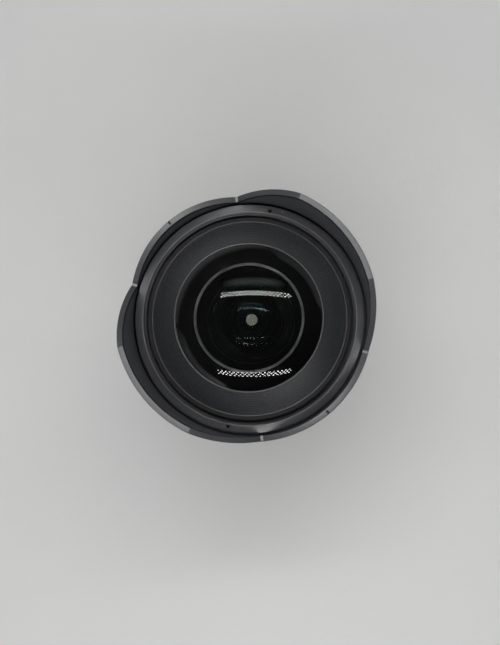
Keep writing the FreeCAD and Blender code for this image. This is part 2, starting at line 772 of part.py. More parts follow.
# Front rim ring: the outermost ring inside the hood, with two holes for a pin spanner
rim_skirt_bore_r = cup_r + fit_clearance
rim_skirt_z = rim_ring_z - rim_skirt_length
spanner_circle_r = rim_ring_r - spanner_hole_inset
rim_ring = turned(
    (rim_skirt_bore_r, rim_skirt_z),
    (rim_skirt_bore_r + rim_skirt_wall, rim_skirt_z),
    (rim_skirt_bore_r + rim_skirt_wall, rim_ring_z),
    (rim_ring_r, rim_ring_z),
    (rim_ring_r, rim_z - small_chamfer),
    (rim_ring_r - small_chamfer, rim_z),
    (rim_ring_bore_r + rim_bevel, rim_z),
    (rim_ring_bore_r, rim_z - rim_bevel),
    (rim_ring_bore_r, carriage_cup_top),
    (rim_skirt_bore_r, carriage_cup_top),
)
spanner_place = polar(spanner_circle_r, spanner_angle)
spanner_hole = upright_bar(spanner_hole_r, rim_z - spanner_hole_depth, rim_z + overshoot, spanner_place)
save("front_rim_ring", rim_ring.cut(pattern(spanner_hole, 2)))

# Front element: the bulging glass, hollow behind
front_hollow_r = second_glass_r + front_hollow_land
hollow_apex = front_glass_apex - front_glass_thickness
front_seat_z = hollow_apex - sag(front_hollow_curve, front_hollow_r)
save(
    "front_element",
    glass(
        front_glass_r,
        front_glass_apex,
        front_glass_curve,
        front_glass_r,
        hollow_apex,
        front_hollow_curve,
        front_hollow_r,
    ),
)

# Front bezel: it climbs towards the glass and clamps it on the front cell
cell_flange_z = carriage_cup_z + cell_flange_thickness
bezel_r = cup_bore_r - fit_clearance
bezel_inner_r = front_glass_r - bezel_cover
bezel_crest_r = bezel_inner_r + bezel_crest_width
bezel_foot_z = cell_flange_z + running_clearance
bezel_lip_z = front_glass_apex - sag(front_glass_curve, bezel_inner_r) + fit_clearance
bezel_shelf_z = front_glass_apex - sag(front_glass_curve, front_glass_r) + fit_clearance
bezel_crest_z = bezel_top_z + bezel_rise
bezel = turned(
    (bezel_r - bezel_skirt_wall, bezel_foot_z),
    (bezel_r, bezel_foot_z),
    (bezel_r, bezel_top_z - small_chamfer),
    (bezel_r - small_chamfer, bezel_top_z - small_chamfer),
    (bezel_r - bezel_step_width, bezel_top_z),
    (bezel_crest_r, bezel_crest_z),
    (bezel_inner_r, bezel_lip_z + bezel_lip_height),
    (bezel_inner_r, bezel_lip_z),
    (bezel_bore_r, bezel_shelf_z),
    (bezel_bore_r, front_seat_z),
    (bezel_bore_r + edge_land, front_seat_z),
    (bezel_r - bezel_skirt_wall, bezel_top_z - bezel_plate),
)
save("front_bezel", bezel)

# Second to fourth elements, stacked behind the front glass with their air gaps
second_edge_r = second_glass_r - second_front_land
second_hollow_r = second_glass_r - second_rear_land
second_curve = 40.0
second_hollow_curve = 14.5
second_thickness = 1.8
second_air = 9.3
second_apex = hollow_apex - second_air
second_seat_z = second_apex - second_thickness - sag(second_hollow_curve, second_hollow_r)
second_front_z = second_apex - sag(second_curve, second_edge_r)
third_clear_r = third_glass_r - edge_land
third_curve = -60.0
third_thickness = 1.6
third_hollow_curve = 22.0
third_air = 10.2
third_apex = second_apex - second_thickness - third_air
third_rear_apex = third_apex - third_thickness
third_front_z = third_apex - sag(third_curve, third_clear_r)
third_rear_z = third_rear_apex - sag(third_hollow_curve, third_clear_r)
fourth_curve = 26.0
fourth_thickness = 6.4
fourth_rear_curve = -40.0
fourth_air = 5.4
fourth_apex = third_rear_apex - fourth_air
fourth_rear_apex = fourth_apex - fourth_thickness
fourth_front_z = fourth_apex - sag(fourth_curve, third_clear_r)
fourth_rear_z = fourth_rear_apex - sag(fourth_rear_curve, third_clear_r)
save(
    "second_element",
    glass(
        second_glass_r,
        second_apex,
        second_curve,
        second_edge_r,
        second_apex - second_thickness,
        second_hollow_curve,
        second_hollow_r,
    ),
)
save(
    "third_element",
    glass(
        third_glass_r,
        third_apex,
        third_curve,
        third_clear_r,
        third_rear_apex,
        third_hollow_curve,
        third_clear_r,
    ),
)
save(
    "fourth_element",
    glass(
        third_glass_r,
        fourth_apex,
        fourth_curve,
        third_clear_r,
        fourth_rear_apex,
        fourth_rear_curve,
        third_clear_r,
    ),
)

# Front cell: one turned mount for the first four elements, with their spacer and screw-in rings
second_bore_r = second_glass_r + fit_clearance
third_bore_r = third_glass_r + fit_clearance
cell_r = carriage_bore_r - fit_clearance
cell_waist_r = third_bore_r + cell_wall
cell_neck_r = second_bore_r + cell_wall
cell_flange_r = cup_bore_r - fit_clearance
cell_rim = 3.0
pilot_length = 5.0
front_retainer_z = fourth_rear_z - retainer_length
front_cell_rear_z = fourth_rear_apex - front_cell_overhang
front_cell = turned(
    (third_bore_r, front_cell_rear_z),
    (cell_r, front_cell_rear_z),
    (cell_r, front_cell_rear_z + cell_rim),
    (cell_waist_r, front_cell_rear_z + cell_rim),
    (cell_waist_r, pilot_top_z - pilot_length),
    (cell_r, pilot_top_z - pilot_length),
    (cell_r, pilot_top_z),
    (cell_neck_r, pilot_top_z),
    (cell_neck_r, carriage_cup_z),
    (cell_flange_r, carriage_cup_z),
    (cell_flange_r, cell_flange_z),
    (front_glass_r, cell_flange_z),
    (front_glass_r, front_seat_z),
    (front_hollow_r, front_seat_z),
    (second_bore_r, second_front_z + retainer_length),
    (second_bore_r, second_seat_z),
    (third_clear_r, second_seat_z),
    (third_clear_r, third_front_z),
    (third_bore_r, third_front_z),
)
save("front_cell", front_cell)
save("second_retainer", ring(second_edge_r, second_glass_r, second_front_z, second_front_z + retainer_length))
save("front_spacer", ring(third_clear_r, third_glass_r, fourth_front_z, third_rear_z))
save("front_group_retainer", ring(third_clear_r, third_glass_r, front_retainer_z, fourth_rear_z))

# Iris: a housing with pivot holes, a slotted cam ring with a fork, seven blades and a snap ring
cam_ring_z = iris_seat_z + iris_retainer_thickness + iris_end_float
blades_z = cam_ring_z + cam_ring_thickness + running_clearance
plate_z = blades_z + blade_pitch * (blade_count - 1) + blade_thickness + iris_end_float
housing_top_z = plate_z + housing_plate
stop_plate_r = stop_open_r + stop_plate_margin
pivot_place = polar(pivot_circle_r, 0.0)
cam_pin_place = polar(cam_pin_circle_r, -cam_pin_lag)


def cam_pin_at(share):
    """Where blade 1's cam pin stands in the cam ring's own frame, from open (0) to closed (1)."""
    swing = FreeCAD.Rotation(axis, blade_swing * share)
    place = pivot_place + swing.multVec(cam_pin_place - pivot_place)
    return FreeCAD.Rotation(axis, -aperture_range * share).multVec(place)


def cam_slot():
    """One slot: the path of the cam pin widened by its radius, through the cam ring."""
    half = cam_pin_r + cam_slot_clearance
    share_step = 0.01
    shares = [i / cam_slot_steps for i in range(cam_slot_steps + 1)]
    middles = [cam_pin_at(s) for s in shares]
    inner = []
    outer = []
    for share, middle in zip(shares, middles):
        ahead = cam_pin_at(share + share_step) - cam_pin_at(share - share_step)
        side = FreeCAD.Vector(-ahead.y, ahead.x, 0).normalize() * half
        inner.append(middle + side)
        outer.append(middle - side)
    inner_curve = Part.BSplineCurve()
    inner_curve.interpolate(inner)
    outer_curve = Part.BSplineCurve()
    outer_curve.interpolate(outer)
    ends = []
    for end, before in ((0, 1), (-1, -2)):
        along = (middles[end] - middles[before]).normalize() * half
        ends.append(Part.Arc(inner[end], middles[end] + along, outer[end]).toShape())
    wire = Part.Wire(Part.__sortEdges__([inner_curve.toShape(), outer_curve.toShape()] + ends))
    slot = Part.Face(wire).extrude(FreeCAD.Vector(0, 0, cam_ring_thickness * 3))
    slot.translate(FreeCAD.Vector(0, 0, cam_ring_z - cam_ring_thickness))
    return slot


fork_r = cam_ring_r - fork_wall
fork_half = math.degrees((aperture_pin_r + fit_clearance) / fork_r)
fork_foot_z = cam_ring_z - fork_length
fork_top_z = cam_ring_z + cam_ring_thickness / 2
fork_fingers = [
    sector(fork_r, cam_ring_r, fork_foot_z, fork_top_z, aperture_pin_angle + start, fork_finger_angle)
    for start in (fork_half, -fork_half - fork_finger_angle)
]
cam_ring = ring(stop_plate_r, cam_ring_r, cam_ring_z, cam_ring_z + cam_ring_thickness)
cam_ring = cam_ring.cut(pattern(cam_slot(), blade_count)).fuse(fork_fingers).removeSplitter()
save("iris_cam_ring", cam_ring)

housing = turned(
    (stop_plate_r, plate_z),
    (housing_bore_r, plate_z),
    (housing_bore_r, iris_seat_z),
    (housing_r, iris_seat_z),
    (housing_r, housing_top_z),
    (stop_plate_r, housing_top_z),
)
pivot_hole = upright_bar(
    pivot_pin_r + fit_clearance, plate_z - overshoot, housing_top_z + overshoot, pivot_place
)
save("iris_housing", housing.cut(pattern(pivot_hole, blade_count)))


def iris_blade(index):
    """A curved blade on its own level, with the pivot pin in front and the cam pin behind."""
    level = blades_z + blade_pitch * index
    band = sector(stop_open_r, stop_open_r + blade_band, level, level + blade_thickness, 0.0, blade_span)
    tab_corners = [
        polar(stop_open_r + blade_tab_inset, blade_tab_angle, level),
        polar(stop_open_r + blade_tab_inset, 0.0, level),
        polar(cam_pin_circle_r - blade_tab_margin, -cam_pin_lag - blade_tab_slant, level),
        polar(cam_pin_circle_r + blade_tab_margin, -cam_pin_lag, level),
        polar(pivot_circle_r + blade_tab_margin, blade_tab_slant / 2, level),
        polar(stop_open_r + blade_band - blade_tab_inset / 5, blade_tab_angle, level),
    ]
    tab = Part.Face(Part.makePolygon(tab_corners + tab_corners[:1])).extrude(FreeCAD.Vector(0, 0, blade_thickness))
    pads = [
        upright_bar(pivot_pin_r + blade_tab_margin / 2, level, level + blade_thickness, pivot_place),
        upright_bar(cam_pin_r + blade_tab_margin / 2, level, level + blade_thickness, cam_pin_place),
    ]
    pins = [
        upright_bar(pivot_pin_r, level, housing_top_z - 2 * fit_clearance, pivot_place),
        upright_bar(cam_pin_r, cam_ring_z + fit_clearance, level + blade_thickness, cam_pin_place),
    ]
    blade = band.fuse([tab] + pads + pins).removeSplitter()
    return around(blade, 360.0 * index / blade_count)


for index in range(blade_count):
    save("iris_blade_" + str(index + 1), iris_blade(index))

snap_gap_start = aperture_pin_angle - fork_half - fork_finger_angle - snap_margin
snap_gap = aperture_range + 2 * (fork_half + fork_finger_angle + snap_margin)
iris_retainer = sector(
    fork_r,
    housing_bore_r - fit_clearance,
    iris_seat_z,
    iris_seat_z + iris_retainer_thickness,
    snap_gap_start + snap_gap,
    360.0 - snap_gap,
)
save("iris_retainer", iris_retainer)
save("iris_spacer", ring(cell_r - iris_spacer_wall, cell_r, housing_top_z, front_cell_rear_z))

aperture_pin_tip_r = fork_r - aperture_pin_cover
aperture_pin = radial_bar(
    aperture_pin_r, aperture_pin_tip_r, aperture_pin_outer_r - fit_clearance, aperture_pin_z, aperture_pin_angle
)
save("aperture_drive_pin", aperture_pin)

# Fifth, sixth and rear elements, placed from the carriage's rear seat
pair_clear_r = rear_pair_r - edge_land
fifth_curve = 26.0
fifth_thickness = 6.6
fifth_rear_curve = -24.0
fifth_rise = 6.2
fifth_apex = carriage_step_z + fifth_rise
fifth_rear_apex = fifth_apex - fifth_thickness
fifth_front_z = fifth_apex - sag(fifth_curve, pair_clear_r)
fifth_rear_z = fifth_rear_apex - sag(fifth_rear_curve, pair_clear_r)
sixth_curve = -32.0
sixth_thickness = 1.7
sixth_rear_curve = 45.0
sixth_air = 2.0
sixth_apex = fifth_rear_apex - sixth_air
sixth_front_z = sixth_apex - sag(sixth_curve, pair_clear_r)
sixth_rear_apex = sixth_apex - sixth_thickness
sixth_rear_z = sixth_rear_apex - sag(sixth_rear_curve, pair_clear_r)
rear_clear_r = rear_glass_r - edge_land
rear_curve = 60.0
rear_thickness = 6.6
rear_back_curve = -32.0
rear_air = 3.9
rear_apex = sixth_rear_apex - rear_air
rear_front_z = rear_apex - sag(rear_curve, rear_clear_r)
rear_back_apex = rear_apex - rear_thickness
rear_back_z = rear_back_apex - sag(rear_back_curve, rear_clear_r)
save(
    "fifth_element",
    glass(rear_pair_r, fifth_apex, fifth_curve, pair_clear_r, fifth_rear_apex, fifth_rear_curve, pair_clear_r),
)
save(
    "sixth_element",
    glass(rear_pair_r, sixth_apex, sixth_curve, pair_clear_r, sixth_rear_apex, sixth_rear_curve, pair_clear_r),
)
save(
    "rear_element",
    glass(rear_glass_r, rear_apex, rear_curve, rear_clear_r, rear_back_apex, rear_back_curve, rear_clear_r),
)

# Rear cell: its flange seats on the carriage's step and its tube reaches down through the throat
pair_bore_r = rear_pair_r + fit_clearance
rear_cell_flange_z = carriage_step_z - rear_cell_flange_thickness
rear_cell_rear_z = rear_back_apex - rear_cell_overhang
rear_cell_top_z = fifth_front_z + 2 * retainer_length
rear_cell_neck_r = pair_bore_r + cell_wall
rear_cell_chamfer = 0.8
rear_cell_step = 1.0
rear_cell_flange_r = carriage_bore_r - fit_clearance
rear_cell = turned(
    (rear_bore_r, rear_cell_rear_z),
    (rear_cell_tube_r - rear_cell_chamfer, rear_cell_rear_z),
    (rear_cell_tube_r, rear_cell_rear_z + rear_cell_chamfer),
    (rear_cell_tube_r, rear_cell_flange_z),
    (rear_cell_flange_r, rear_cell_flange_z),
    (rear_cell_flange_r, carriage_step_z),
    (rear_cell_neck_r, carriage_step_z),
    (rear_cell_neck_r, rear_cell_top_z),
    (pair_bore_r, rear_cell_top_z),
    (pair_bore_r, sixth_rear_z),
    (pair_clear_r, sixth_rear_z),
    (pair_clear_r, sixth_rear_z - rear_cell_step),
    (rear_clear_r, rear_front_z),
    (rear_bore_r, rear_front_z),
)
save("rear_cell", rear_cell)
save("rear_spacer", ring(pair_clear_r, rear_pair_r, sixth_front_z, fifth_rear_z))
save("rear_group_retainer", ring(pair_clear_r, rear_pair_r, fifth_front_z, fifth_front_z + retainer_length))
save("rear_element_retainer", ring(rear_clear_r, rear_glass_r, rear_back_z - retainer_length, rear_back_z))
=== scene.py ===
import math

import bmesh
import bpy
from mathutils import Matrix, Vector


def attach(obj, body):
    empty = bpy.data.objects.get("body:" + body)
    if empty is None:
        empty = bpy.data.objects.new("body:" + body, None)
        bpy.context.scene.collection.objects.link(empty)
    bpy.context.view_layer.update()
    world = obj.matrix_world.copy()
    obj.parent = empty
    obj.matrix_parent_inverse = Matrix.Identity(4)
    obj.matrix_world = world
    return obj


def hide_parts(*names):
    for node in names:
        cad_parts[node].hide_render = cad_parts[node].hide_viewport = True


# The looks of an ultra wide-angle lens. Sizes are written in millimetres and scaled by MM; the scene is in metres.
# The lens stands on its mount: Z runs up its axis, and angles are degrees round it, counted from X.
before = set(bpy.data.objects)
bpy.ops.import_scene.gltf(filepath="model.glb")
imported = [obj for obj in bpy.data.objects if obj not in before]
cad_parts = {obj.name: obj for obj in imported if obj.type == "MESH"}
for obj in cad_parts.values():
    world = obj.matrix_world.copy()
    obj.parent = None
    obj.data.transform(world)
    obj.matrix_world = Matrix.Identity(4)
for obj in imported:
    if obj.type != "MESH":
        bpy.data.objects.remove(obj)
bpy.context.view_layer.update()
MM = 0.001
RIM_Z = 80.5  # the front ring's face, whose plane holds the picture's scale
INDEX = 90  # where the index marks and the mount's bead lie
SMOOTH_LIMIT = math.radians(32)


class Wire:
    """A socket of a node tree. Arithmetic on it adds Math nodes."""

    def __init__(self, tree, socket):
        self.tree = tree
        self.socket = socket

    def also(self, output):
        return Wire(self.tree, self.socket.node.outputs[output])

    def _maths(self, operation, *values):
        return self.tree.add("ShaderNodeMath", {"operation": operation}, dict(enumerate(values)))

    def __add__(self, other):
        return self._maths("ADD", self, other)

    def __radd__(self, other):
        return self._maths("ADD", other, self)

    def __sub__(self, other):
        return self._maths("SUBTRACT", self, other)

    def __rsub__(self, other):
        return self._maths("SUBTRACT", other, self)

    def __mul__(self, other):
        return self._maths("MULTIPLY", self, other)

    def __rmul__(self, other):
        return self._maths("MULTIPLY", other, self)

    def __lt__(self, other):
        return self._maths("LESS_THAN", self, other)

    def __abs__(self):
        return self._maths("ABSOLUTE", self)

    def root(self):
        return self._maths("SQRT", self)


class Tree:
    """A node tree of any kind, filled through one method."""

    def __init__(self, tree):
        self.tree = tree

    def add(self, kind, settings=None, sockets=None, output=0):
        node = self.tree.nodes.new(kind)
        for key, value in (settings or {}).items():
            if key == "stops":
                for stop, (place, colour) in zip(node.color_ramp.elements, value):
                    stop.position = place
                    stop.color = (*colour, 1)
            else:
                setattr(node, key, value)
        for key, value in (sockets or {}).items():
            if isinstance(value, Wire):
                self.tree.links.new(value.socket, node.inputs[key])
            else:
                node.inputs[key].default_value = value
        return Wire(self, node.outputs[output]) if node.outputs else node


class Pattern(Tree):
    """A Geometry Nodes group with named inputs, run once to give a plain mesh."""

    KINDS = {int: "Int", float: "Float", bpy.types.Object: "Object", bpy.types.Material: "Material"}

    def __init__(self, name, **values):
        super().__init__(bpy.data.node_groups.new(name, "GeometryNodeTree"))
        self.values = values
        for key, value in values.items():
            kind = "NodeSocket" + self.KINDS[type(value)]
            self.tree.interface.new_socket(key, in_out="INPUT", socket_type=kind)
        self.tree.interface.new_socket("Geometry", in_out="OUTPUT", socket_type="NodeSocketGeometry")
        self.inputs = self.add("NodeGroupInput")

    def given(self, key):
        return self.inputs.also(key)

    def grown(self, instances):
        """Realises the repeats, paints them and keeps the result as a piece of its own."""
        solid = self.add("GeometryNodeRealizeInstances", {}, {"Geometry": instances})
        painted = self.add("GeometryNodeSetMaterial", {}, {"Geometry": solid, "Material": self.given("Material")})
        self.add("NodeGroupOutput", {}, {"Geometry": painted})
        piece = new_piece(self.tree.name, bpy.data.meshes.new("seed"))
        run = piece.modifiers.new("pattern", "NODES")
        run.node_group = self.tree
        for item in self.tree.interface.items_tree:
            if item.in_out == "INPUT":
                run[item.identifier] = self.values[item.name]
        return baked(piece)


class Finish(Tree):
    """A material. It reads the piece's own coordinates, whose Z axis is the axis of the lens."""

    def __init__(self, name):
        self.material = bpy.data.materials.new(name)
        self.material.use_nodes = True
        super().__init__(self.material.node_tree)
        self.tree.nodes.clear()
        self.place = self.add("ShaderNodeTexCoord", output="Object")
        self.x = self.add("ShaderNodeSeparateXYZ", sockets={0: self.place})
        self.y = self.x.also("Y")
        self.z = self.x.also("Z")

    def radius(self):
        return (self.x * self.x + self.y * self.y).root()

    def vector(self, x=0.0, y=0.0, z=0.0):
        return self.add("ShaderNodeCombineXYZ", sockets={0: x, 1: y, 2: z})

    def noise(self, size, detail=2.0, roughness=0.5, place=None):
        """Soft noise between 0 and 1 whose blotches are about size millimetres across."""
        sockets = {"Vector": place or self.place, "Scale": 1 / (size * MM), "Detail": detail, "Roughness": roughness}
        return self.add("ShaderNodeTexNoise", {"noise_dimensions": "3D"}, sockets)

    def turned_lines(self, size):
        """Fine lines that run round the axis, as a lathe tool leaves them."""
        return self.noise(size, 3.0, 0.6, self.vector(self.radius(), self.z, 0.0))

    def step(self, value, low, high):
        """Goes from 0 at low to 1 at high, and stays there."""
        return self.add("ShaderNodeMapRange", {"clamp": True}, {"Value": value, "From Min": low, "From Max": high})

    def blend(self, share, first, second):
        """Mixes two colours; 6, 7 and output 2 are the colour sockets of the Mix node."""
        sockets = {0: share, 6: first if isinstance(first, Wire) else (*first, 1)}
        sockets[7] = second if isinstance(second, Wire) else (*second, 1)
        return self.add("ShaderNodeMix", {"data_type": "RGBA"}, sockets, 2)

    def specks(self, spacing, size, share):
        """Scattered dust grains: 1 on a grain, 0 elsewhere."""
        cells = self.add("ShaderNodeTexVoronoi", {}, {"Vector": self.place, "Scale": 1 / (spacing * MM)})
        chance = self.add("ShaderNodeSeparateColor", {}, {0: cells.also("Color")})
        return (cells < size / spacing) * (chance < share)

    def relief(self, height, depth):
        """A normal from a height between 0 and 1; depth is in millimetres."""
        return self.add("ShaderNodeBump", {}, {"Height": height, "Distance": depth * MM, "Strength": 1.0})

    def coat(self, **sockets):
        named = {key.replace("_", " "): value for key, value in sockets.items()}
        colour = named.get("Base Color")
        if isinstance(colour, tuple):
            named["Base Color"] = (*colour, 1)
        shader = self.add("ShaderNodeBsdfPrincipled", {}, named)
        self.add("ShaderNodeOutputMaterial", {}, {"Surface": shader})
        return self.material


def toned(tone, share):
    return tuple(channel * share for channel in tone)


def satin_paint(name, tone, gloss, grain, dusty=0.0, turned=0.0, shine=0.5):
    """Black satin paint or anodising: fine grain, faint smudges, a few grains of dust.

    turned is the pull of the tool lines on highlights, shine the strength of the reflection.
    """
    f = Finish(name)
    patch = f.noise(9.0, 3.0, 0.6)
    grains = f.noise(grain, 2.0, 0.6)
    lines = f.turned_lines(0.35)
    colour = f.blend(patch * 0.6 + grains * 0.4, toned(tone, 0.75), toned(tone, 1.35))
    if dusty:
        colour = f.blend(f.specks(2.6, 0.16, dusty), colour, (0.32, 0.33, 0.34))
    roughness = gloss + (patch - 0.5) * 0.16 + (grains - 0.5) * 0.1
    normal = f.relief(grains * 0.7 + lines * 0.3, 0.012)
    brushed = {"Anisotropic": turned, "Anisotropic_Rotation": 0.25, "Specular_IOR_Level": shine}
    return f.coat(Base_Color=colour, Roughness=roughness, Normal=normal, **brushed)


def hood_moulding(name, light):
    """Matt black moulding with a fine leather-like grain; light scales its tone, and the lighter copies are painted
    light on lit faces.
    """
    f = Finish(name)
    grains = f.noise(0.28, 3.0, 0.65)
    patch = f.noise(14.0, 3.0, 0.6)
    colour = f.blend(patch, toned((0.022, 0.023, 0.026), light), toned((0.036, 0.037, 0.041), light))
    colour = f.blend(f.specks(3.4, 0.15, 0.05), colour, (0.26, 0.27, 0.28))
    roughness = 0.5 + (patch - 0.5) * 0.16 + (grains - 0.5) * 0.12
    return f.coat(Base_Color=colour, Roughness=roughness, Normal=f.relief(grains, 0.03))


def flat_black(name, tone, shine=0.5):
    """Dead black anodising inside the lens, with faint tool lines."""
    f = Finish(name)
    lines = f.turned_lines(0.5)
    patch = f.noise(5.0, 2.0, 0.5)
    colour = f.blend(patch, toned(tone, 0.7), toned(tone, 1.3))
    roughness = 0.62 + (patch - 0.5) * 0.15
    return f.coat(Base_Color=colour, Roughness=roughness, Specular_IOR_Level=shine, Normal=f.relief(lines, 0.02))


def turned_metal(name, tone, gloss, lines_depth, marks):
    """Bare or plated metal turned on a lathe: circular tool lines, slight tarnish and fine rub marks."""
    f = Finish(name)
    lines = f.turned_lines(0.18)
    patch = f.noise(7.0, 3.0, 0.6)
    wear_and_highlight = f.step(f.noise(1.6, 4.0, 0.7), 0.56, 0.7)
    colour = f.blend(patch * 0.7 + lines * 0.3, toned(tone, 0.82), tone)
    roughness = gloss + lines * 0.12 + wear_and_highlight * marks
    return f.coat(Base_Color=colour, Metallic=1.0, Roughness=roughness, Normal=f.relief(lines, lines_depth))


def carriage_metal(name):
    """Turned aluminium, anodised black in front of the helicoid."""
    f = Finish(name)
    lines = f.turned_lines(0.3)
    patch = f.noise(7.0, 3.0, 0.6)
    black = f.step(f.z, 64.5 * MM, 65.0 * MM)
    metal = f.blend(patch, (0.5, 0.5, 0.51), (0.6, 0.6, 0.61))
    colour = f.blend(black, metal, f.blend(patch, (0.008, 0.008, 0.009), (0.014, 0.014, 0.015)))
    roughness = 0.3 + lines * 0.1 + black * 0.3
    return f.coat(Base_Color=colour, Metallic=1 - black, Roughness=roughness, Normal=f.relief(lines, 0.01))


def ribbed_rubber(name):
    """Black grip rubber: dull, finely pitted, greyish where it is dusty."""
    f = Finish(name)
    pits = f.noise(0.22, 3.0, 0.7)
    patch = f.noise(6.0, 4.0, 0.65)
    colour = f.blend(f.step(patch, 0.35, 0.75), (0.014, 0.014, 0.015), (0.028, 0.028, 0.029))
    return f.coat(Base_Color=colour, Roughness=0.68 + (patch - 0.5) * 0.2, Normal=f.relief(pits, 0.04))


def coated_glass(name, tint, reflection, index, strength, gloss=0.0):
    """Optical glass whose thin coating leaves a weak tinted reflection; gloss adds a clear, untinted one."""
    f = Finish(name)
    film = f.noise(11.0, 3.0, 0.6)
    colour = f.blend(film, tint, tuple(min(1.0, c * 1.03) for c in tint))
    return f.coat(
        Base_Color=colour,
        Roughness=0.0,
        IOR=index,
        Transmission_Weight=1.0,
        Specular_IOR_Level=strength,
        Specular_Tint=(*reflection, 1),
        Coat_Weight=gloss,
        Coat_Roughness=0.0,
        Coat_IOR=2.2,
    )


def edge_ink(name):
    """Black ink on the ground edge of a lens element."""
    f = Finish(name)
    brush = f.turned_lines(0.8)
    colour = f.blend(brush, (0.006, 0.005, 0.006), (0.014, 0.012, 0.013))
    return f.coat(Base_Color=colour, Roughness=0.5 + brush * 0.2, Specular_IOR_Level=0.15)


def ground_edge(name, light):
    """The bevel of a lens element where the ink leaves the ground glass bare: pale grey-green."""
    f = Finish(name)
    frost = f.noise(0.3, 3.0, 0.7)
    colour = f.blend(frost, toned((0.42, 0.47, 0.45), light), toned((0.56, 0.61, 0.58), light))
    return f.coat(Base_Color=colour, Roughness=0.6 + frost * 0.15)


def number_paint(name, tone):
    """Paint wiped into the engraved marks."""
    f = Finish(name)
    wear = f.noise(0.5, 3.0, 0.7)
    colour = f.blend(f.step(wear, 0.45, 0.8), tone, toned(tone, 0.72))
    return f.coat(Base_Color=colour, Roughness=0.5 + wear * 0.15)


FINISHES = {
    "barrel_black": satin_paint("barrel_black", (0.022, 0.022, 0.024), 0.42, 0.2),
    "hood_black": hood_moulding("hood_black", 1.2),
    "rim_black": satin_paint("rim_black", (0.026, 0.027, 0.03), 0.47, 0.16, 0.1, 0.9),
    "bezel_black": satin_paint("bezel_black", (0.017, 0.018, 0.02), 0.38, 0.14, 0.06, 0.6, 0.3),
    "inner_black": flat_black("inner_black", (0.012, 0.012, 0.013)),
    "baffle_black": flat_black("baffle_black", (0.012, 0.012, 0.013)),
    "mount_metal": turned_metal("mount_metal", (0.8, 0.79, 0.76), 0.16, 0.004, 0.16),
    "screw_steel": turned_metal("screw_steel", (0.62, 0.62, 0.6), 0.24, 0.006, 0.1),
    "nut_brass": turned_metal("nut_brass", (0.72, 0.55, 0.28), 0.26, 0.01, 0.1),
    "grip_rubber": ribbed_rubber("grip_rubber"),
    "inner_aluminium": turned_metal("inner_aluminium", (0.6, 0.6, 0.61), 0.3, 0.01, 0.12),
    "front_glass": coated_glass("front_glass", (0.97, 0.99, 0.98), (0.85, 1.0, 0.92), 1.6, 0.85, 1.0),
    "inner_glass": coated_glass("inner_glass", (0.96, 0.98, 0.97), (0.6, 0.75, 1.0), 1.6, 0.1),
    "rear_glass": coated_glass("rear_glass", (0.96, 0.97, 0.99), (0.7, 0.6, 1.0), 1.6, 0.1),
    "blade_steel": satin_paint("blade_steel", (0.03, 0.03, 0.032), 0.36, 0.1),
    "bead_white": number_paint("bead_white", (0.78, 0.77, 0.74)),
}
INK = edge_ink("edge_ink")
GROUND_EDGE = ground_edge("ground_edge", 1.5)
# A faint pale band for the retainer's edge: a painted highlight
RETAINER_HIGHLIGHT = ground_edge("retainer_edge", 0.3)
BLACK_STEEL = turned_metal("black_steel", (0.035, 0.035, 0.038), 0.3, 0.006, 0.1)
OWN_FINISHES = {"lens_carriage": carriage_metal("carriage_metal"), "grub_screws": BLACK_STEEL}
# Lighter copies of the moulding for the lining and the rim: painted light on faces that are lit more
HOOD_LINING_LIT = hood_moulding("hood_lining", 1.9)
HOOD_RIM_LIT = hood_moulding("hood_rim", 1.3)
# A dead black with little reflection, put in the gap, in the groove and under the hood's rim: painted shade
PAINTED_SHADE_BLACK = flat_black("groove_black", (0.014, 0.014, 0.015), 0.15)
# The notch faces in a far lighter copy of the moulding: a painted highlight where they face the light
NOTCH_HIGHLIGHT = hood_moulding("notch_edge", 4.0)
# A much lighter copy of the satin paint for thin edges: a painted highlight where the edges catch the light
EDGE_HIGHLIGHT = satin_paint("rubbed_edge", (0.075, 0.076, 0.08), 0.36, 0.12)
WHITE_MARKS = number_paint("white_marks", (0.72, 0.72, 0.7))


def finish_nodes():
    """Gives every solid of the frame the finish of its slot."""
    for name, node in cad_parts.items():
        for slot in node.material_slots:
            slot.material = OWN_FINISHES.get(name) or FINISHES[slot.material.name.split(".")[0]]


finish_nodes()


def new_piece(name, mesh, *materials):
    piece = bpy.data.objects.new(name, mesh)
    bpy.context.scene.collection.objects.link(piece)
    for material in materials:
        mesh.materials.append(material)
    return piece


def shaped(made, name, *materials):
    """Turns finished bmesh work into a piece."""
    mesh = bpy.data.meshes.new(name)
    made.to_mesh(mesh)
    made.free()
    return new_piece(name, mesh, *materials)


def smooth(piece):
    """Smooth shading with every real corner kept crisp."""
    mesh = piece.data
    mesh.polygons.foreach_set("use_smooth", [True] * len(mesh.polygons))
    mesh.set_sharp_from_angle(angle=SMOOTH_LIMIT)
    return piece


def softened(outline, size, steps=3):
    """Rounds every corner of a closed (radius, height) outline."""
    rounded = []
    for before, corner, after in zip(outline[-1:] + outline[:-1], outline, outline[1:] + outline[:1]):
        here = Vector(corner)
        into = Vector(before) - here
        away = Vector(after) - here
        reach = min(size, into.length * 0.45, away.length * 0.45)
        start = here + into.normalized() * reach
        end = here + away.normalized() * reach
        for i in range(steps + 1):
            t = i / steps
            rounded.append(tuple(start * (1 - t) ** 2 + here * 2 * t * (1 - t) + end * t * t))
    return rounded


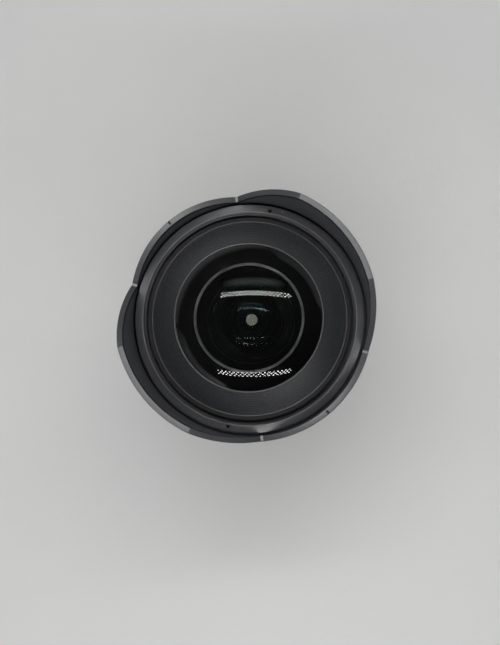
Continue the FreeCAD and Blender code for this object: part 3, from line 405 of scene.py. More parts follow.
def lathe(name, outline, materials, segments=256, finish_of=None):
    """Turns a (radius, height) outline about the axis. An outline that touches the axis twice stays open there."""
    made = bmesh.new()
    closed = outline[0][0] > 0
    columns = []
    for radius, height in outline:
        count = segments if radius > 1e-6 else 1
        turns = [2 * math.pi * i / segments for i in range(count)]
        points = [(radius * MM * math.cos(a), radius * MM * math.sin(a), height * MM) for a in turns]
        columns.append([made.verts.new(p) for p in points])
    pairs = list(zip(columns, columns[1:] + (columns[:1] if closed else [])))
    for number, (low, high) in enumerate(pairs):
        for i in range(segments):
            ring = [low[i % len(low)], low[(i + 1) % len(low)], high[(i + 1) % len(high)], high[i % len(high)]]
            face = made.faces.new(list(dict.fromkeys(ring)))
            face.material_index = finish_of[number] if finish_of else 0
    bmesh.ops.recalc_face_normals(made, faces=made.faces)
    return smooth(shaped(made, name, *materials))


def baked(piece):
    """Turns a piece's modifiers into plain mesh."""
    view = bpy.context.evaluated_depsgraph_get()
    mesh = bpy.data.meshes.new_from_object(piece.evaluated_get(view), depsgraph=view)
    piece.modifiers.clear()
    old = piece.data
    piece.data = mesh
    bpy.data.meshes.remove(old)
    return piece


def drilled(piece, *drills, operation="DIFFERENCE"):
    """Cuts holes with closed helper meshes, or adds them; the helpers are deleted."""
    for drill in drills:
        cut = piece.modifiers.new("hole", "BOOLEAN")
        cut.object = drill
        cut.operation = operation
        cut.solver = "EXACT"
    baked(piece)
    for drill in drills:
        bpy.data.objects.remove(drill)
    return smooth(piece)


def fitted(piece, body, slot, *nodes):
    """Hangs a finished piece on its body, in place of the CAD solids that it stands for."""
    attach(piece, body)
    if nodes:
        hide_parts(*nodes)


def ring_pattern(name, shape, count, first, step, material):
    """Repeats a shape round the axis, from first degrees on, step degrees apart."""
    turns = {"Shape": shape, "Count": count, "First": math.radians(first), "Step": math.radians(step)}
    p = Pattern(name, **turns, Material=material)
    points = p.add("GeometryNodeMeshLine", {"mode": "OFFSET"}, {"Count": p.given("Count"), "Offset": (0, 0, 0)})
    model = p.add("GeometryNodeObjectInfo", {}, {"Object": p.given("Shape")}, "Geometry")
    turn = p.given("First") + p.given("Step") * p.add("GeometryNodeInputIndex")
    euler = p.add("ShaderNodeCombineXYZ", {}, {"Z": turn})
    around = p.add("FunctionNodeEulerToRotation", {}, {"Euler": euler})
    spread = {"Points": points, "Instance": model, "Rotation": around}
    made = p.grown(p.add("GeometryNodeInstanceOnPoints", {}, spread))
    bpy.data.objects.remove(shape)
    return smooth(made)


def merged(base, *others):
    """Adds other pieces of the same material to the first one's mesh."""
    made = bmesh.new()
    for piece in (base, *others):
        made.from_mesh(piece.data)
    for piece in others:
        bpy.data.objects.remove(piece)
    for face in made.faces:
        face.material_index = 0
    made.to_mesh(base.data)
    made.free()
    return smooth(base)


def drill(radius, length, place, direction, mouth=None, finish=0):
    """A round drill whose axis starts at place; mouth widens its outer end, finish numbers the bore's material."""
    made = bmesh.new()
    sizes = {"radius1": (mouth or radius) * MM, "radius2": radius * MM, "depth": length * MM}
    bmesh.ops.create_cone(made, cap_ends=True, segments=48, **sizes)
    turn = Vector((0, 0, 1)).rotation_difference(Vector(direction)).to_matrix().to_4x4()
    middle = (Vector(place) + Vector(direction).normalized() * length / 2) * MM
    made.transform(Matrix.Translation(middle) @ turn)
    for face in made.faces:
        face.material_index = finish
    return shaped(made, "drill")


def polar(radius, degrees, height=0.0):
    turn = math.radians(degrees)
    return Vector((radius * math.cos(turn), radius * math.sin(turn), height))


def sag(curve, r):
    """How far a glass surface has fallen back from its apex at radius r."""
    return math.copysign(abs(curve) - math.sqrt(curve * curve - r * r), curve)


GLASS_SEGMENTS = 192
GLASS_STEPS = 40
GLASS_GAP = 0.05
EDGE_PLAY = 0.04
FRONT_APEX, FRONT_CURVE, FRONT_RADIUS = FRONT_DOME = (88.8, 54.0, 26.6)


def dome(apex, curve, radius):
    """Points of a polished surface from the axis outwards."""
    radii = [radius * i / GLASS_STEPS for i in range(GLASS_STEPS + 1)]
    return [(r, apex - sag(curve, r)) for r in radii]


def element(node, slot, edge, front, rear, bare=None, hollow=None):
    """A polished lens element with an inked edge. front and rear are (apex, curve, clear radius).

    bare is the inner and outer radius of a bevel without ink, hollow a finish of its own for the rear surface.
    """
    polished, inked, bevel, inside = range(4)
    front_points = dome(*front)
    rear_points = dome(*rear)[::-1]
    outline = list(front_points)
    finishes = [polished] * GLASS_STEPS
    if edge - front[2] > 1e-3:
        outline.append((edge, front_points[-1][1]))
        finishes.append(inked)
    flat_z = rear_points[0][1] + GLASS_GAP
    outline.append((edge, flat_z))
    finishes.append(inked)
    if bare:
        outline += [(bare[1], flat_z), (bare[0], flat_z)]
        finishes += [inked, bevel]
    if edge - rear[2] > 1e-3:
        finishes.append(inked)
    outline += rear_points
    finishes += [inside if hollow else polished] * GLASS_STEPS
    outline = [(min(r, edge - EDGE_PLAY), z) for r, z in outline]
    glass = FINISHES[slot]
    materials = [glass, INK, GROUND_EDGE, hollow or glass]
    piece = lathe(node + "_polished", outline, materials, GLASS_SEGMENTS, finishes)
    fitted(piece, "lens_block", slot, node)


HOLLOW = coated_glass("hollow_glass", (0.97, 0.99, 0.98), (0.5, 1.0, 0.7), 1.6, 0.08)
element("front_element", "front_glass", FRONT_RADIUS, FRONT_DOME, (85.8, 24.6, 17.0), (17.0, 17.95), HOLLOW)
element("second_element", "inner_glass", 16.5, (76.5, 40.0, 15.5), (74.7, 14.5, 12.5))
# A pale band on the inner edge of the second element's retainer, a faint ring in the glass: a painted highlight of
# that edge
RETAINER_LINE = [(16.25, 74.56), (16.47, 74.56), (16.47, 74.6), (16.25, 74.6)]
fitted(lathe("retainer_line", RETAINER_LINE, [RETAINER_HIGHLIGHT], GLASS_SEGMENTS), "lens_block", "inner_black")
element("third_element", "inner_glass", 12.5, (64.5, -60.0, 11.3), (62.9, 22.0, 11.3))
element("fourth_element", "inner_glass", 12.5, (57.5, 26.0, 11.3), (51.1, -40.0, 11.3))
element("fifth_element", "inner_glass", 11.5, (28.0, 26.0, 10.3), (21.4, -24.0, 10.3))
element("sixth_element", "inner_glass", 11.5, (19.4, -32.0, 10.3), (17.7, 45.0, 10.3))
element("rear_element", "rear_glass", 14.5, (13.8, 60.0, 13.3), (7.2, -32.0, 13.3))


def softened_finishes(finishes, steps=3):
    """Finishes for a softened outline: each rounded corner has the finish of the face after it."""
    return [finish for finish in finishes for _ in range(steps + 1)]


FRONT_SEGMENTS = 288


def front_ring():
    """The satin ring outside the groove: a nearly flat face, an edge painted lighter as a highlight, a chamfer in
    dull black as painted shade, and two spanner holes.
    """
    outline = [(36.65, 74.0), (37.85, 74.0), (37.85, 77.1), (39.0, 77.1), (39.0, 80.38), (37.6, RIM_Z)]
    outline += [(36.6, RIM_Z - 0.01), (36.22, RIM_Z - 0.13), (35.95, 79.2), (35.4, 78.9), (35.4, 77.5), (36.65, 77.5)]
    painted, wear_and_highlight, inner = range(3)
    # The outer wall and the chamfer take the dull inner black, painted shade in the gap and the groove; the edge
    # between face and chamfer takes the lighter edge finish, a painted highlight
    finishes = softened_finishes([inner] * 4 + [painted] * 2 + [wear_and_highlight] + [inner] * 5)
    materials = [FINISHES["rim_black"], EDGE_HIGHLIGHT, FINISHES["inner_black"]]
    ring = lathe("front_ring", softened(outline, 0.12), materials, FRONT_SEGMENTS, finishes)
    places = [polar(37.35, angle, RIM_Z + 0.2) for angle in (129.3, 309.3)]
    # The bores of the spanner holes are dead black: painted shade in the holes
    holes = [drill(0.62, 2.6, place, (0, 0, -1), finish=inner) for place in places]
    fitted(drilled(ring, *holes), "lens_block", "rim_black", "front_rim_ring")


def ridged_bezel():
    """The bezel that climbs to the glass, covered with fine concentric ridges."""
    foot_z = 75.1
    shoulder_radius, shoulder_z = 33.1, 80.3
    crest_radius, crest_z = 25.6, 82.85
    ridges = 13
    ridge_depth = 0.2
    bulge = 0.2
    slope = []
    for i in range(ridges):
        for share, drop in ((0.1, 0.0), (0.62, 0.0), (0.7, ridge_depth), (0.98, ridge_depth)):
            along = (i + share) / ridges
            height = shoulder_z + (crest_z - shoulder_z) * along + bulge * math.sin(math.pi * along) - drop
            slope.append((shoulder_radius + (crest_radius - shoulder_radius) * along, height))
    outline = [(32.55, foot_z), (34.55, foot_z), (34.55, 79.9), (34.47, 80.0), (33.95, 80.0), (33.93, 80.08)]
    outline += [(33.86, 80.12), (33.55, 80.12), (33.53, 80.2), (33.46, 80.24), (33.24, 80.24), (33.2, 80.36)] + slope
    lip = FRONT_APEX - sag(FRONT_CURVE, 24.95) + GLASS_GAP
    shelf = FRONT_APEX - sag(FRONT_CURVE, FRONT_RADIUS) + GLASS_GAP
    outline += [(25.45, 82.9), (25.2, 82.86), (25.02, 82.72), (24.95, lip + 0.12), (24.95, lip), (26.65, shelf)]
    outline += [(26.65, 79.0), (27.85, 79.0), (32.55, 78.7)]
    painted, wear_and_highlight, groove = range(3)
    finishes = []
    # The edge at the glass and the bead take the lighter edge finish, a painted highlight; the outer steps and the
    # wall in the groove take dead black, painted shade
    for radius, height in outline:
        on_edge = 25.0 < radius < 25.61 or 33.19 < radius < 33.21
        finishes.append(wear_and_highlight if on_edge else groove if radius > 33.21 else painted)
    materials = [FINISHES["bezel_black"], EDGE_HIGHLIGHT, PAINTED_SHADE_BLACK]
    bezel = lathe("ridged_bezel", outline, materials, FRONT_SEGMENTS, finishes)
    fitted(bezel, "lens_block", "bezel_black", "front_bezel")


front_ring()
ridged_bezel()

HOOD_SEAT_Z = 70.0
HOOD_INNER = 39.8
HOOD_OUTER = 41.8
FLARE_Z = 79.0
FLARE = math.tan(math.radians(5.6))
HOOD_TOP_Z = 98.5
HOOD_MIDDLE = 40.8 + 1.5 * FLARE
HOOD_SCREW_Z = 73.1
HOOD_SCREW_ANGLES = (30, 150, 270)
# The hood's edge lies on the view pyramid of a 36 x 24 mm picture, whose diagonals pass through the notches.
PICTURE_LONG = 18
PICTURE_SHORT = 12
VIEW_DISTANCE = 15.0
VIEW_APEX = RIM_Z - HOOD_MIDDLE * VIEW_DISTANCE / math.hypot(PICTURE_LONG, PICTURE_SHORT)
NOTCH = math.degrees(math.atan2(PICTURE_SHORT, PICTURE_LONG))
NOTCH_HALF = math.degrees(0.45 / HOOD_MIDDLE)


def view_side(turn, half_side):
    """Height at which one side of the view pyramid meets the hood, turn degrees from the side's middle."""
    return VIEW_APEX + HOOD_MIDDLE * math.cos(math.radians(turn)) * VIEW_DISTANCE / half_side


def turn_from_small(angle):
    """Degrees from the middle of the nearer small petal."""
    return abs((angle + 90) % 180 - 90)


def petal_edge(angle):
    """Height of the hood's edge: it follows the sides of the picture's view, and dips at the four notches."""
    from_small = turn_from_small(angle)
    if from_small < NOTCH + NOTCH_HALF:
        return view_side(min(from_small, NOTCH - NOTCH_HALF), PICTURE_LONG)
    return min(HOOD_TOP_Z, view_side(90 - from_small, PICTURE_SHORT))


def hood_angles():
    """Where the hood's columns of points stand: evenly, and close together at the notches and plateaus."""
    angles = [0.75 * i for i in range(480)]
    for corner in (NOTCH, 180 - NOTCH, 180 + NOTCH, 360 - NOTCH):
        angles += [corner + side * NOTCH_HALF * share for side in (-1, 1) for share in (0.97, 1.03)]
    reach = (HOOD_TOP_Z - VIEW_APEX) * PICTURE_SHORT / (HOOD_MIDDLE * VIEW_DISTANCE)
    plateau = math.degrees(math.acos(reach))
    for middle in (90, 270):
        angles += [middle - plateau, middle + plateau, middle - plateau - 0.2, middle + plateau + 0.2]
    return sorted(set(angles))


def hood_outline(edge):
    """The wall's cross section below an edge at this height. Under the rim runs a band that is painted dark, a
    painted shadow line.
    """
    spread = (edge - FLARE_Z) * FLARE
    line = 1.6
    outline = [(HOOD_INNER, HOOD_SEAT_Z), (HOOD_OUTER, HOOD_SEAT_Z), (HOOD_OUTER, FLARE_Z)]
    outline += [(HOOD_OUTER + spread, edge), (HOOD_INNER + spread, edge)]
    return outline + [(HOOD_INNER + spread - FLARE * line, edge - line), (HOOD_INNER, FLARE_Z)]


def petal_hood():
    """The petal hood with softened edges, two nicks and its three screw holes."""
    wall, rim, notch, dark, lining = range(5)
    # One finish for each face of the softened outline, whose seven corners have four points each
    # The rim and the lining take lighter copies of the moulding, painted light; the band under the rim and the wall
    # in the gap take dead black, painted shade
    finishes = [wall] * 13 + [rim] * 4 + [dark] * 3 + [lining] * 4 + [dark] * 4
    made = bmesh.new()
    angles = hood_angles()
    columns = []
    for angle in angles:
        points = softened(hood_outline(petal_edge(angle)), 0.22)
        columns.append([made.verts.new(polar(r * MM, angle, z * MM)) for r, z in points])
    for angle, low, high in zip(angles, columns, columns[1:] + columns[:1]):
        # Near each notch the rim's faces take the far lighter notch finish: a painted highlight
        near_notch = abs(turn_from_small(angle) - NOTCH) < NOTCH_HALF
        on_notch = near_notch and abs(petal_edge(angle + 0.01) - RIM_Z) < 0.3
        for i, finish in enumerate(finishes):
            j = (i + 1) % len(low)
            face = made.faces.new((low[i], low[j], high[j], high[i]))
            face.material_index = notch if on_notch and finish == rim else finish
    bmesh.ops.recalc_face_normals(made, faces=made.faces)
    materials = (FINISHES["hood_black"], HOOD_RIM_LIT, NOTCH_HIGHLIGHT, PAINTED_SHADE_BLACK, HOOD_LINING_LIT)
    hood = shaped(made, "petal_hood", *materials)
    small_top = view_side(0, PICTURE_LONG)
    # The bores of the nicks are dead black: painted shade in the recesses
    nicks = [drill(0.35, 3.0, polar(41.2, angle, small_top), polar(1, angle), finish=dark) for angle in (0, 180)]
    screws = []
    for angle in HOOD_SCREW_ANGLES:
        screws.append(drill(1.02, 3.2, polar(42.0, angle, HOOD_SCREW_Z), -polar(1, angle)))
        screws.append(drill(1.05, 1.0, polar(41.85, angle, HOOD_SCREW_Z), -polar(1, angle), 2.0))
    fitted(drilled(hood, *nicks, *screws), "barrel", "hood_black", "lens_hood")


petal_hood()


MOUNT_SCREW_RADIUS = 26.4


def turned_piece(name, outline, *holes):
    """A turned black part of the fixed barrel with softened edges."""
    piece = lathe("turned_" + name, softened(outline, 0.16), [FINISHES["barrel_black"]])
    fitted(drilled(piece, *holes), "barrel", "barrel_black", name)


def mount_holes():
    """Four screw holes through the mount's flange, and their countersinks."""
    places = [polar(MOUNT_SCREW_RADIUS, angle, 5.1) for angle in (45, 135, 225, 315)]
    holes = [drill(1.05, 5.6, place, (0, 0, 1)) for place in places]
    return holes + [drill(1.05, 1.2, place, (0, 0, 1), 2.0) for place in places]


def grub_holes(radius, height):
    """Three radial holes for the grub screws of a ring of this radius."""
    return [drill(0.95, 4.0, polar(radius + 1, angle, height), -polar(1, angle)) for angle in (90, 210, 330)]


def block(size, centre, rounding):
    """A rounded bar, used as one rib."""
    made = bmesh.new()
    bmesh.ops.create_cube(made, size=1.0)
    made.transform(Matrix.Diagonal((*size, 1 / MM)) * MM)
    bmesh.ops.bevel(made, geom=made.edges[:], offset=rounding * MM, segments=2, profile=0.5, affect="EDGES")
    made.transform(Matrix.Translation(Vector(centre) * MM))
    return shaped(made, "block")


def claw(middle):
    """One bayonet claw, a curved bar that reaches into the collar's wall."""
    made = bmesh.new()
    outline = softened([(20.9, 1.2), (22.8, 1.2), (22.8, 2.8), (20.9, 2.8)], 0.12)
    columns = []
    for i in range(25):
        angle = middle - 29 + 58 * i / 24
        columns.append([made.verts.new(polar(r * MM, angle, z * MM)) for r, z in outline])
    for low, high in zip(columns, columns[1:]):
        for i in range(len(low)):
            j = (i + 1) % len(low)
            made.faces.new((low[i], low[j], high[j], high[i]))
    made.faces.new(columns[0])
    made.faces.new(columns[-1])
    bmesh.ops.recalc_face_normals(made, faces=made.faces)
    return shaped(made, "claw")


def bayonet():
    """The turned mount with its three claws, screw seats and lock hole."""
    outline = [(19.5, 0.0), (21.4, 0.0), (21.4, 5.6), (23.2, 5.6), (23.2, 5.2), (31.0, 5.2), (31.0, 8.2), (19.5, 8.2)]
    mount = lathe("bayonet", softened(outline, 0.14), [FINISHES["mount_metal"]])
    drilled(mount, *[claw(angle) for angle in (90, 210, 330)], operation="UNION")
    lock = drill(1.3, 1.7, polar(28.2, 62, 5.1), (0, 0, 1))
    fitted(drilled(mount, lock, *mount_holes()), "barrel", "mount_metal", "bayonet_mount")


def cross_cutter(width, reach, depth):
    """The shape of a cross recess, as one solid."""
    w = width / 2
    r = reach / 2
    arm = [(r, -w), (r, w), (w, w)]
    corners = [(x * c - y * s, x * s + y * c) for c, s in ((1, 0), (0, 1), (-1, 0), (0, -1)) for x, y in arm]
    made = bmesh.new()
    floor, lid = ([made.verts.new((x * MM, y * MM, z * MM)) for x, y in corners] for z in (-depth, depth))
    made.faces.new(floor)
    made.faces.new(lid)
    for i in range(len(corners)):
        made.faces.new((floor[i - 1], floor[i], lid[i], lid[i - 1]))
    bmesh.ops.recalc_face_normals(made, faces=made.faces)
    return shaped(made, "cross")


def cross_screw(length, steel):
    """A countersunk screw with a cross recess, its head facing +Z at the origin."""
    outline = [(0, 0), (1.72, 0), (1.84, -0.03), (1.9, -0.12), (1.02, -1.1), (1.0, -1.2)]
    outline += [(1.0, 0.25 - length), (0.75, -length), (0, -length)]
    screw = lathe("cross_screw", outline, [steel], 48)
    return drilled(screw, cross_cutter(0.46, 2.0, 0.65))


def ring_of_screws(name, node, steel, length, place, turn, count, first):
    """Screws round the axis: one is laid at its place, then repeated count times from first degrees on."""
    screw = cross_screw(length, steel)
    screw.data.transform(Matrix.Translation(Vector(place) * MM) @ turn)
    made = ring_pattern(name, screw, count, first, 360 / count, steel)
    fitted(made, "barrel", "screw_steel", node)


def focus_grip():
    """The rubber sleeve with its sixty rounded ribs."""
    rubber = FINISHES["grip_rubber"]
    outline = [(33.05, 42.8), (33.6, 42.8), (33.6, 59.8), (33.05, 59.8)]
    sleeve = lathe("ribbed_grip", softened(outline, 0.12), [rubber])
    rib = block((1.2, 2.1, 16.6), (33.68, 0, 51.3), 0.26)
    ribs = ring_pattern("grip_ribs", rib, 60, 1.8, 6.0, rubber)
    fitted(merged(sleeve, ribs), "focus_control", "grip_rubber", "focus_grip")


def aperture_ring():
    """The aperture ring: a smooth cone that carries the numbers, and thirty-six broad ribs below it."""
    black = FINISHES["barrel_black"]
    outline = [(30.2, 24.3), (32.1, 24.3), (32.1, CONE_FOOT_Z), (FOCUS_RADIUS, CONE_FOOT_Z)]
    outline += [(SCALE_RADIUS, CONE_TOP_Z), (30.2, CONE_TOP_Z)]
    ring = lathe("aperture_grip", softened(outline, 0.14), [black])
    rib = block((1.3, 3.44, 5.5), (32.32, 0, 27.05), 0.22)
    ribs = ring_pattern("aperture_ribs", rib, 36, 3.1, 10.0, black)
    fitted(merged(ring, ribs), "aperture_control", "barrel_black", "aperture_ring")


FOCUS_RADIUS = 33.0
SCALE_RADIUS = 32.0
CONE_FOOT_Z = 29.6
CONE_TOP_Z = 33.0
PAINT = 0.03


def stroke(points, width, closed=False):
    """A painted line through flat points, as a thin closed bar."""
    made = bmesh.new()
    columns = []
    count = len(points)
    for i, point in enumerate(points):
        before = points[i - 1] if closed or i else point
        after = points[(i + 1) % count] if closed or i < count - 1 else point
        along = (Vector(after) - Vector(before)).normalized()
        across = Vector((-along.y, along.x)) * width / 2
        corners = [(1, -PAINT), (1, PAINT), (-1, PAINT), (-1, -PAINT)]
        columns.append([made.verts.new((*(Vector(point) + across * side) * MM, z * MM)) for side, z in corners])
    for low, high in zip(columns, columns[1:] + (columns[:1] if closed else [])):
        for i in range(4):
            made.faces.new((low[i], low[i - 1], high[i - 1], high[i]))
    if not closed:
        made.faces.new(columns[0])
        made.faces.new(columns[-1])
    bmesh.ops.recalc_face_normals(made, faces=made.faces)
    mesh = bpy.data.meshes.new("stroke")
    made.to_mesh(mesh)
    made.free()
    return mesh


def digits(text, size):
    """A plain number of a scale as a thin plate."""
    curve = bpy.data.curves.new("digits", "FONT")
    curve.body = text
    curve.size = size * MM
    curve.align_x = "CENTER"
    curve.align_y = "CENTER"
    curve.extrude = PAINT * MM
    curve.resolution_u = 4
    holder = bpy.data.objects.new("digits", curve)
    bpy.context.scene.collection.objects.link(holder)
    view = bpy.context.evaluated_depsgraph_get()
    mesh = bpy.data.meshes.new_from_object(holder.evaluated_get(view), depsgraph=view)
    bpy.data.objects.remove(holder)
    return mesh


def infinity(size):
    """The sign for far away: a line that crosses itself."""
    points = []
    for i in range(48):
        turn = 2 * math.pi * i / 48
        x = size / 2 * math.cos(turn) / (1 + math.sin(turn) ** 2)
        points.append((x, x * math.sin(turn)))
    return stroke(points, 0.22, True)


def painted(name, body, radius_at, marks):
    """Bends flat marks round the lens: x runs round it, y along the axis and z outwards."""
    made = bmesh.new()
    for mesh, angle, height in marks:
        for vertex in mesh.vertices:
            x, y, z = vertex.co / MM
            r = radius_at(height + y)
            vertex.co = polar((r + z) * MM, angle + math.degrees(x / r), (height + y) * MM)
        made.from_mesh(mesh)
        bpy.data.meshes.remove(mesh)
    for face in made.faces:
        face.material_index = 0
    fitted(shaped(made, name, WHITE_MARKS), body, "bead_white")


def tick(length):
    return stroke([(0, -length / 2), (0, length / 2)], 0.24)


def scales():
    """The distance scale, the aperture numbers, and the fixed index with its depth marks."""
    numbers_z, ticks_z = 41.4, 39.6
    distances = (("2", 6), ("1", 12), ("0.5", 24.6), ("0.3", 42), ("0.2", 64), ("0.15", 88))
    marks = [(infinity(2.2), INDEX, numbers_z)]
    marks += [(digits(text, 1.9), INDEX - turn, numbers_z) for text, turn in distances]
    marks += [(tick(0.7), INDEX - turn, ticks_z) for text, turn in (("", 0), *distances)]
    painted("distance_marks", "focus_control", lambda height: FOCUS_RADIUS, marks)
    stops = [(text, i * 40 / 6) for i, text in enumerate(("2.8", "4", "5.6", "8", "11", "16", "22"))]
    marks = [(digits(text, 1.6), INDEX - turn, 31.0) for text, turn in stops]
    marks += [(tick(0.6), INDEX - turn, 32.4) for text, turn in stops]
    slope = (FOCUS_RADIUS - SCALE_RADIUS) / (CONE_TOP_Z - CONE_FOOT_Z)
    painted("aperture_marks", "aperture_control", lambda height: FOCUS_RADIUS - (height - CONE_FOOT_Z) * slope, marks)
    low_z, numbers_z, high_z = 34.05, 35.9, 37.55
    depths = (("4", 7.3), ("8", 14.7), ("11", 20.2), ("16", 29.3), ("22", 40.3))
    depths = [(text, INDEX + side * turn) for text, turn in depths for side in (-1, 1)]
    marks = [(tick(1.1), INDEX, low_z), (tick(1.1), INDEX, high_z)]
    marks += [(tick(1.1), angle, high_z) for text, angle in depths]
    marks += [(digits(text, 1.4), angle, numbers_z) for text, angle in depths]
    painted("index_marks", "barrel", lambda height: SCALE_RADIUS, marks)


def screws():
    """The screws of the mount, heads down, and those of the hood, heads outwards."""
    heads_down = Matrix.Rotation(math.pi, 4, "X")
    heads_out = Matrix.Rotation(math.pi / 2, 4, "Y")
    place = (MOUNT_SCREW_RADIUS, 0, 5.3)
    ring_of_screws("mount_cross_screws", "mount_screws", FINISHES["screw_steel"], 5.2, place, heads_down, 4, 45)
    place = (41.7, 0, HOOD_SCREW_Z)
    ring_of_screws("hood_cross_screws", "hood_screws", BLACK_STEEL, 3.0, place, heads_out, 3, 30)


def barrel():
    """The three turned parts of the outer barrel, with the seats of bead, click spring, sleeve and screws."""
    outline = [(21.0, 8.2), (31.2, 8.2), (32.0, 9.8), (32.0, 24.0), (30.15, 24.0), (30.15, 11.0), (21.0, 11.0)]
    seats = [drill(1.3, 2.0, polar(31.1, INDEX, 12.4), polar(1, INDEX))]
    seats.append(drill(0.65, 6.0, polar(31.075, 200, 19.0), (0, 0, 1)))
    seats += [drill(1.05, 3.4, polar(26.6, angle, 8.1), (0, 0, 1)) for angle in (0, 120, 240)]
    turned_piece("rear_barrel", outline, *seats, *mount_holes())
    outline = [(30.15, 33.3), (SCALE_RADIUS, 33.3), (SCALE_RADIUS, 38.3), (30.15, 38.3)]
    turned_piece("scale_ring", outline, *grub_holes(SCALE_RADIUS, 35.8))
    outline = [(30.15, 62.9), (32.6, 62.9), (32.6, 64.9), (41.8, 68.8), (41.8, HOOD_SEAT_Z), (39.75, HOOD_SEAT_Z)]
    outline += [(39.75, 76.2), (38.3, 76.2), (38.3, 73.1), (30.15, 66.15)]
    places = [polar(42.0, angle, HOOD_SCREW_Z) for angle in HOOD_SCREW_ANGLES]
    holes = [drill(1.05, 4.0, place, -polar(1, angle)) for place, angle in zip(places, HOOD_SCREW_ANGLES)]
    turned_piece("front_barrel", outline, *grub_holes(32.6, 64.5), *holes)


bayonet()
screws()
barrel()
focus_grip()
aperture_ring()
scales()


# Stage: camera, floor and lights, laid out as in the photograph. Lengths from here on are in metres.
TILT = math.radians(7.0)
CAMERA_DISTANCE = 0.55
FOCAL_LENGTH = 90.38
AIM_RIGHT, AIM_UP = 0.28 * MM, -1.47 * MM
TO_CAMERA = Vector((math.sin(TILT), 0, math.cos(TILT)))
# The picture's sides as seen on the floor; the camera tilts a little away from them
SIDE = Vector((0.639, 0.769, 0.0)).normalized()
UP = Vector((-0.769, 0.639, 0.0)).normalized()
PICTURE_UP = (UP - TO_CAMERA * UP.dot(TO_CAMERA)).normalized()
PICTURE_RIGHT = PICTURE_UP.cross(TO_CAMERA)
PANEL_TURN = Matrix((SIDE, UP, Vector((0, 0, 1)))).transposed().to_4x4()


def picture_place(right, up, height):
    """A point above the lens from its offsets along the picture's sides."""
    return SIDE * right + UP * up + Vector((0, 0, height))


def camera():
    data = bpy.data.cameras.new("camera")
    data.lens = FOCAL_LENGTH
    data.clip_start = 0.01
    data.clip_end = 20
    camera = bpy.data.objects.new("camera", data)
    bpy.context.scene.collection.objects.link(camera)
    aim = Vector((0, 0, RIM_Z * MM)) + PICTURE_RIGHT * AIM_RIGHT + PICTURE_UP * AIM_UP
    turn = Matrix((PICTURE_RIGHT, PICTURE_UP, TO_CAMERA)).transposed().to_4x4()
    camera.matrix_world = Matrix.Translation(aim + TO_CAMERA * CAMERA_DISTANCE) @ turn
    bpy.context.scene.camera = camera


def pale_floor():
    """A plain pale floor in place of the photograph's dark mat."""
    f = Finish("floor")
    patch = f.noise(60.0, 3.0, 0.6)
    fibre = f.noise(0.8, 3.0, 0.6)
    colour = f.blend(patch * 0.7 + fibre * 0.3, (0.66, 0.66, 0.655), (0.7, 0.7, 0.695))
    material = f.coat(Base_Color=colour, Roughness=0.8, Normal=f.relief(fibre, 0.05))
    made = bmesh.new()
    bmesh.ops.create_grid(made, x_segments=2, y_segments=2, size=3.0)
    floor = shaped(made, "floor", material)


def area_lamp(name, shape, size, power, place, turn):
    """A lamp that the camera doesn't see."""
    data = bpy.data.lights.new(name, "AREA")
    data.shape = shape
    data.size = size
    data.energy = power
    lamp = bpy.data.objects.new(name, data)
    bpy.context.scene.collection.objects.link(lamp)
    lamp.matrix_world = Matrix.Translation(place) @ turn
    lamp.visible_camera = False
    return lamp


def soft_light(name, place, size, power, sheen_on=None):
    """A broad lamp aimed at the lens and not seen in the glass. With sheen_on it only gives that piece its sheen."""
    towards = place.to_track_quat("Z", "Y").to_matrix().to_4x4()
    lamp = area_lamp(name, "SQUARE", size, power, place, towards)
    lamp.visible_transmission = False
    lamp.visible_glossy = bool(sheen_on)
    lamp.visible_diffuse = not sheen_on
    if sheen_on:
        lamp.light_linking.receiver_collection = bpy.data.collections.new(name)
        lamp.light_linking.receiver_collection.objects.link(bpy.data.objects[sheen_on])


def reflected_panel(name, middle, width, depth, strength):
    """A soft-edged panel above the lens, seen only as a faint reflection in the glass."""
    f = Finish(name)
    fade = f.step(abs(f.x), width * 0.5, width * 0.25) * f.step(abs(f.y), depth * 0.5, depth * 0.1)
    seen = f.add("ShaderNodeLightPath", output="Is Glossy Ray")
    glow = f.add("ShaderNodeEmission", {}, {"Color": (0.85, 1.0, 0.98, 1), "Strength": fade * seen * strength})
    f.add("ShaderNodeOutputMaterial", {}, {"Surface": glow})
    made = bmesh.new()
    bmesh.ops.create_grid(made, x_segments=2, y_segments=2, size=0.5)
    made.transform(Matrix.Diagonal((width, depth, 1, 1)))
    panel = shaped(made, name, f.material)
    panel.matrix_world = Matrix.Translation(middle) @ PANEL_TURN
    panel.visible_camera = False
    panel.visible_shadow = False
    panel.visible_diffuse = False


def pupil_glow(width, place, radiance):
    """A tiny round lamp behind the iris, facing up: the pale pupil in the middle of the glass."""
    power = radiance * math.pi * math.pi * (width / 2) ** 2
    lamp = area_lamp("pupil_glow", "DISK", width, power, place, Matrix.Rotation(math.pi, 4, "X"))
    lamp.data.color = (0.9, 1.0, 0.88)


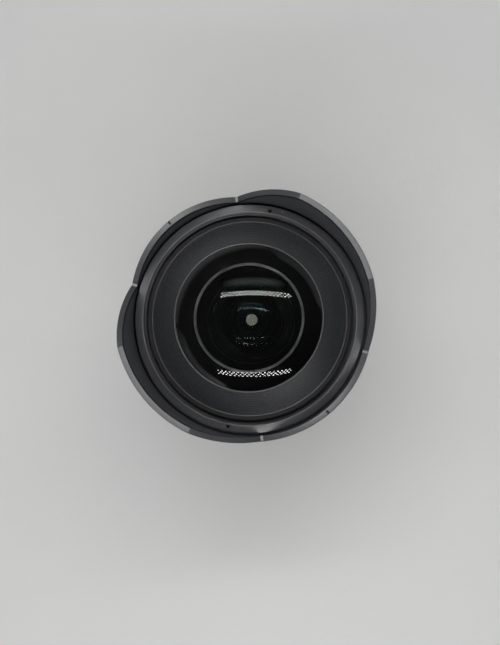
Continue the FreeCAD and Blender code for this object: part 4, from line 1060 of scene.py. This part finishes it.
def led_strip(name, middle, columns, pitch, rows):
    """A strip of small lamps in three staggered rows, which the camera sees only in the glass.

    The outermost surface mirrors it straight to the camera, so there it is dimmed, for glossy rays.
    """
    bright, mirrored = 75, 6
    f = Finish(name)
    strength = bright - (bright - mirrored) * f.add("ShaderNodeLightPath", output="Is Glossy Ray")
    glow = f.add("ShaderNodeEmission", {}, {"Color": (1.0, 1.0, 1.0, 1), "Strength": strength})
    f.add("ShaderNodeOutputMaterial", {}, {"Surface": glow})
    sizes = {"Width": pitch * 0.42, "Height": rows * 0.5}
    p = Pattern(name, Columns=columns, Pitch=pitch, Rows=rows, Material=f.material, **sizes)
    width = p.given("Pitch") * (p.given("Columns") - 1)
    sizes = {"Size X": width, "Size Y": p.given("Rows") * 2, "Vertices X": p.given("Columns"), "Vertices Y": 3}
    grid = p.add("GeometryNodeMeshGrid", {}, sizes)
    row = p.add("ShaderNodeSeparateXYZ", {}, {0: p.add("GeometryNodeInputPosition")}, "Y")
    middle_row = abs(row) < p.given("Rows") * 0.5
    shift = p.add("ShaderNodeCombineXYZ", {}, {"X": middle_row * p.given("Pitch") * 0.5})
    grid = p.add("GeometryNodeSetPosition", {}, {"Geometry": grid, "Offset": shift})
    sizes = {"Size X": p.given("Width"), "Size Y": p.given("Height"), "Vertices X": 2, "Vertices Y": 2}
    lamp = p.add("GeometryNodeMeshGrid", {}, sizes)
    strip = p.grown(p.add("GeometryNodeInstanceOnPoints", {}, {"Points": grid, "Instance": lamp}))
    strip.matrix_world = Matrix.Translation(middle) @ PANEL_TURN
    strip.visible_camera = False
    strip.visible_shadow = False


def sky():
    """A dim upper sky over a bright horizon: weaker in reflections on one side, and hardly seen through glass."""
    world = bpy.data.worlds.new("studio")
    world.use_nodes = True
    tree = Tree(world.node_tree)
    tree.tree.nodes.clear()
    way = tree.add("ShaderNodeTexCoord", output="Generated")
    along = tree.add("ShaderNodeSeparateXYZ", sockets={0: way})
    height = along.also("Z")
    ramp = {"Value": height, "From Min": 0.3, "From Max": 0.52, "To Min": 0.9, "To Max": 0.03}
    light = tree.add("ShaderNodeMapRange", {"clamp": True}, ramp)
    ray = tree.add("ShaderNodeLightPath", output="Is Transmission Ray")
    dark_side = picture_place(0.5, -0.866, 0.0)
    turned_away = along * dark_side.x + along.also("Y") * dark_side.y
    shade = {"Value": turned_away, "From Min": -0.2, "From Max": 0.7, "To Min": 0.5, "To Max": 0.8}
    shade = tree.add("ShaderNodeMapRange", {"clamp": True}, shade) * ray.also("Is Glossy Ray")
    light = light * (1 - 0.95 * ray) * (1 - shade)
    glow = tree.add("ShaderNodeBackground", {}, {"Color": (1, 1, 1, 1), "Strength": light})
    tree.add("ShaderNodeOutputWorld", {}, {"Surface": glow})
    bpy.context.scene.world = world


def studio():
    """The soft light from above, the sheen of each front piece, and what the glass reflects."""
    soft_light("soft_top", picture_place(0.0, 0.0, 1.5), 1.5, 8.6)
    soft_light("hood_sheen", picture_place(-0.2, 0.33, 1.45), 0.7, 27.0, "petal_hood")
    for side, power in ((1, 5.0), (-1, 4.0)):
        soft_light("bezel_sheen", picture_place(-0.27 * side, 0.47 * side, 1.4), 0.5, power, "ridged_bezel")
    soft_light("edge_sheen", picture_place(0.04, -0.3, 0.28), 0.12, 2.0, "front_ring")
    # The wedges of light by the notches: angle clockwise from the picture's top, and power
    for angle, power in ((-6, 0.12), (106, 0.19), (174.5, 0.12), (286.5, 0.16)):
        way = math.radians(angle)
        place = picture_place(0.13 * math.sin(way), 0.13 * math.cos(way), 0.175)
        soft_light("notch_light", place, 0.06, power, "front_ring")
    led_strip("upper_strip", picture_place(0.012, 0.161, 0.45), 18, 0.0224, 0.0098)
    led_strip("lower_strip", picture_place(-0.001, -0.265, 0.39), 18, 0.0234, 0.0115)
    reflected_panel("soft_panel", picture_place(0.0, 0.238, 0.45), 0.4, 0.08, 0.15)
    pupil_glow(0.0106, picture_place(-0.0009, 0.0025, 0.03), 0.2)


camera()
pale_floor()
sky()
studio()
bpy.context.scene.view_settings.view_transform = "Standard"
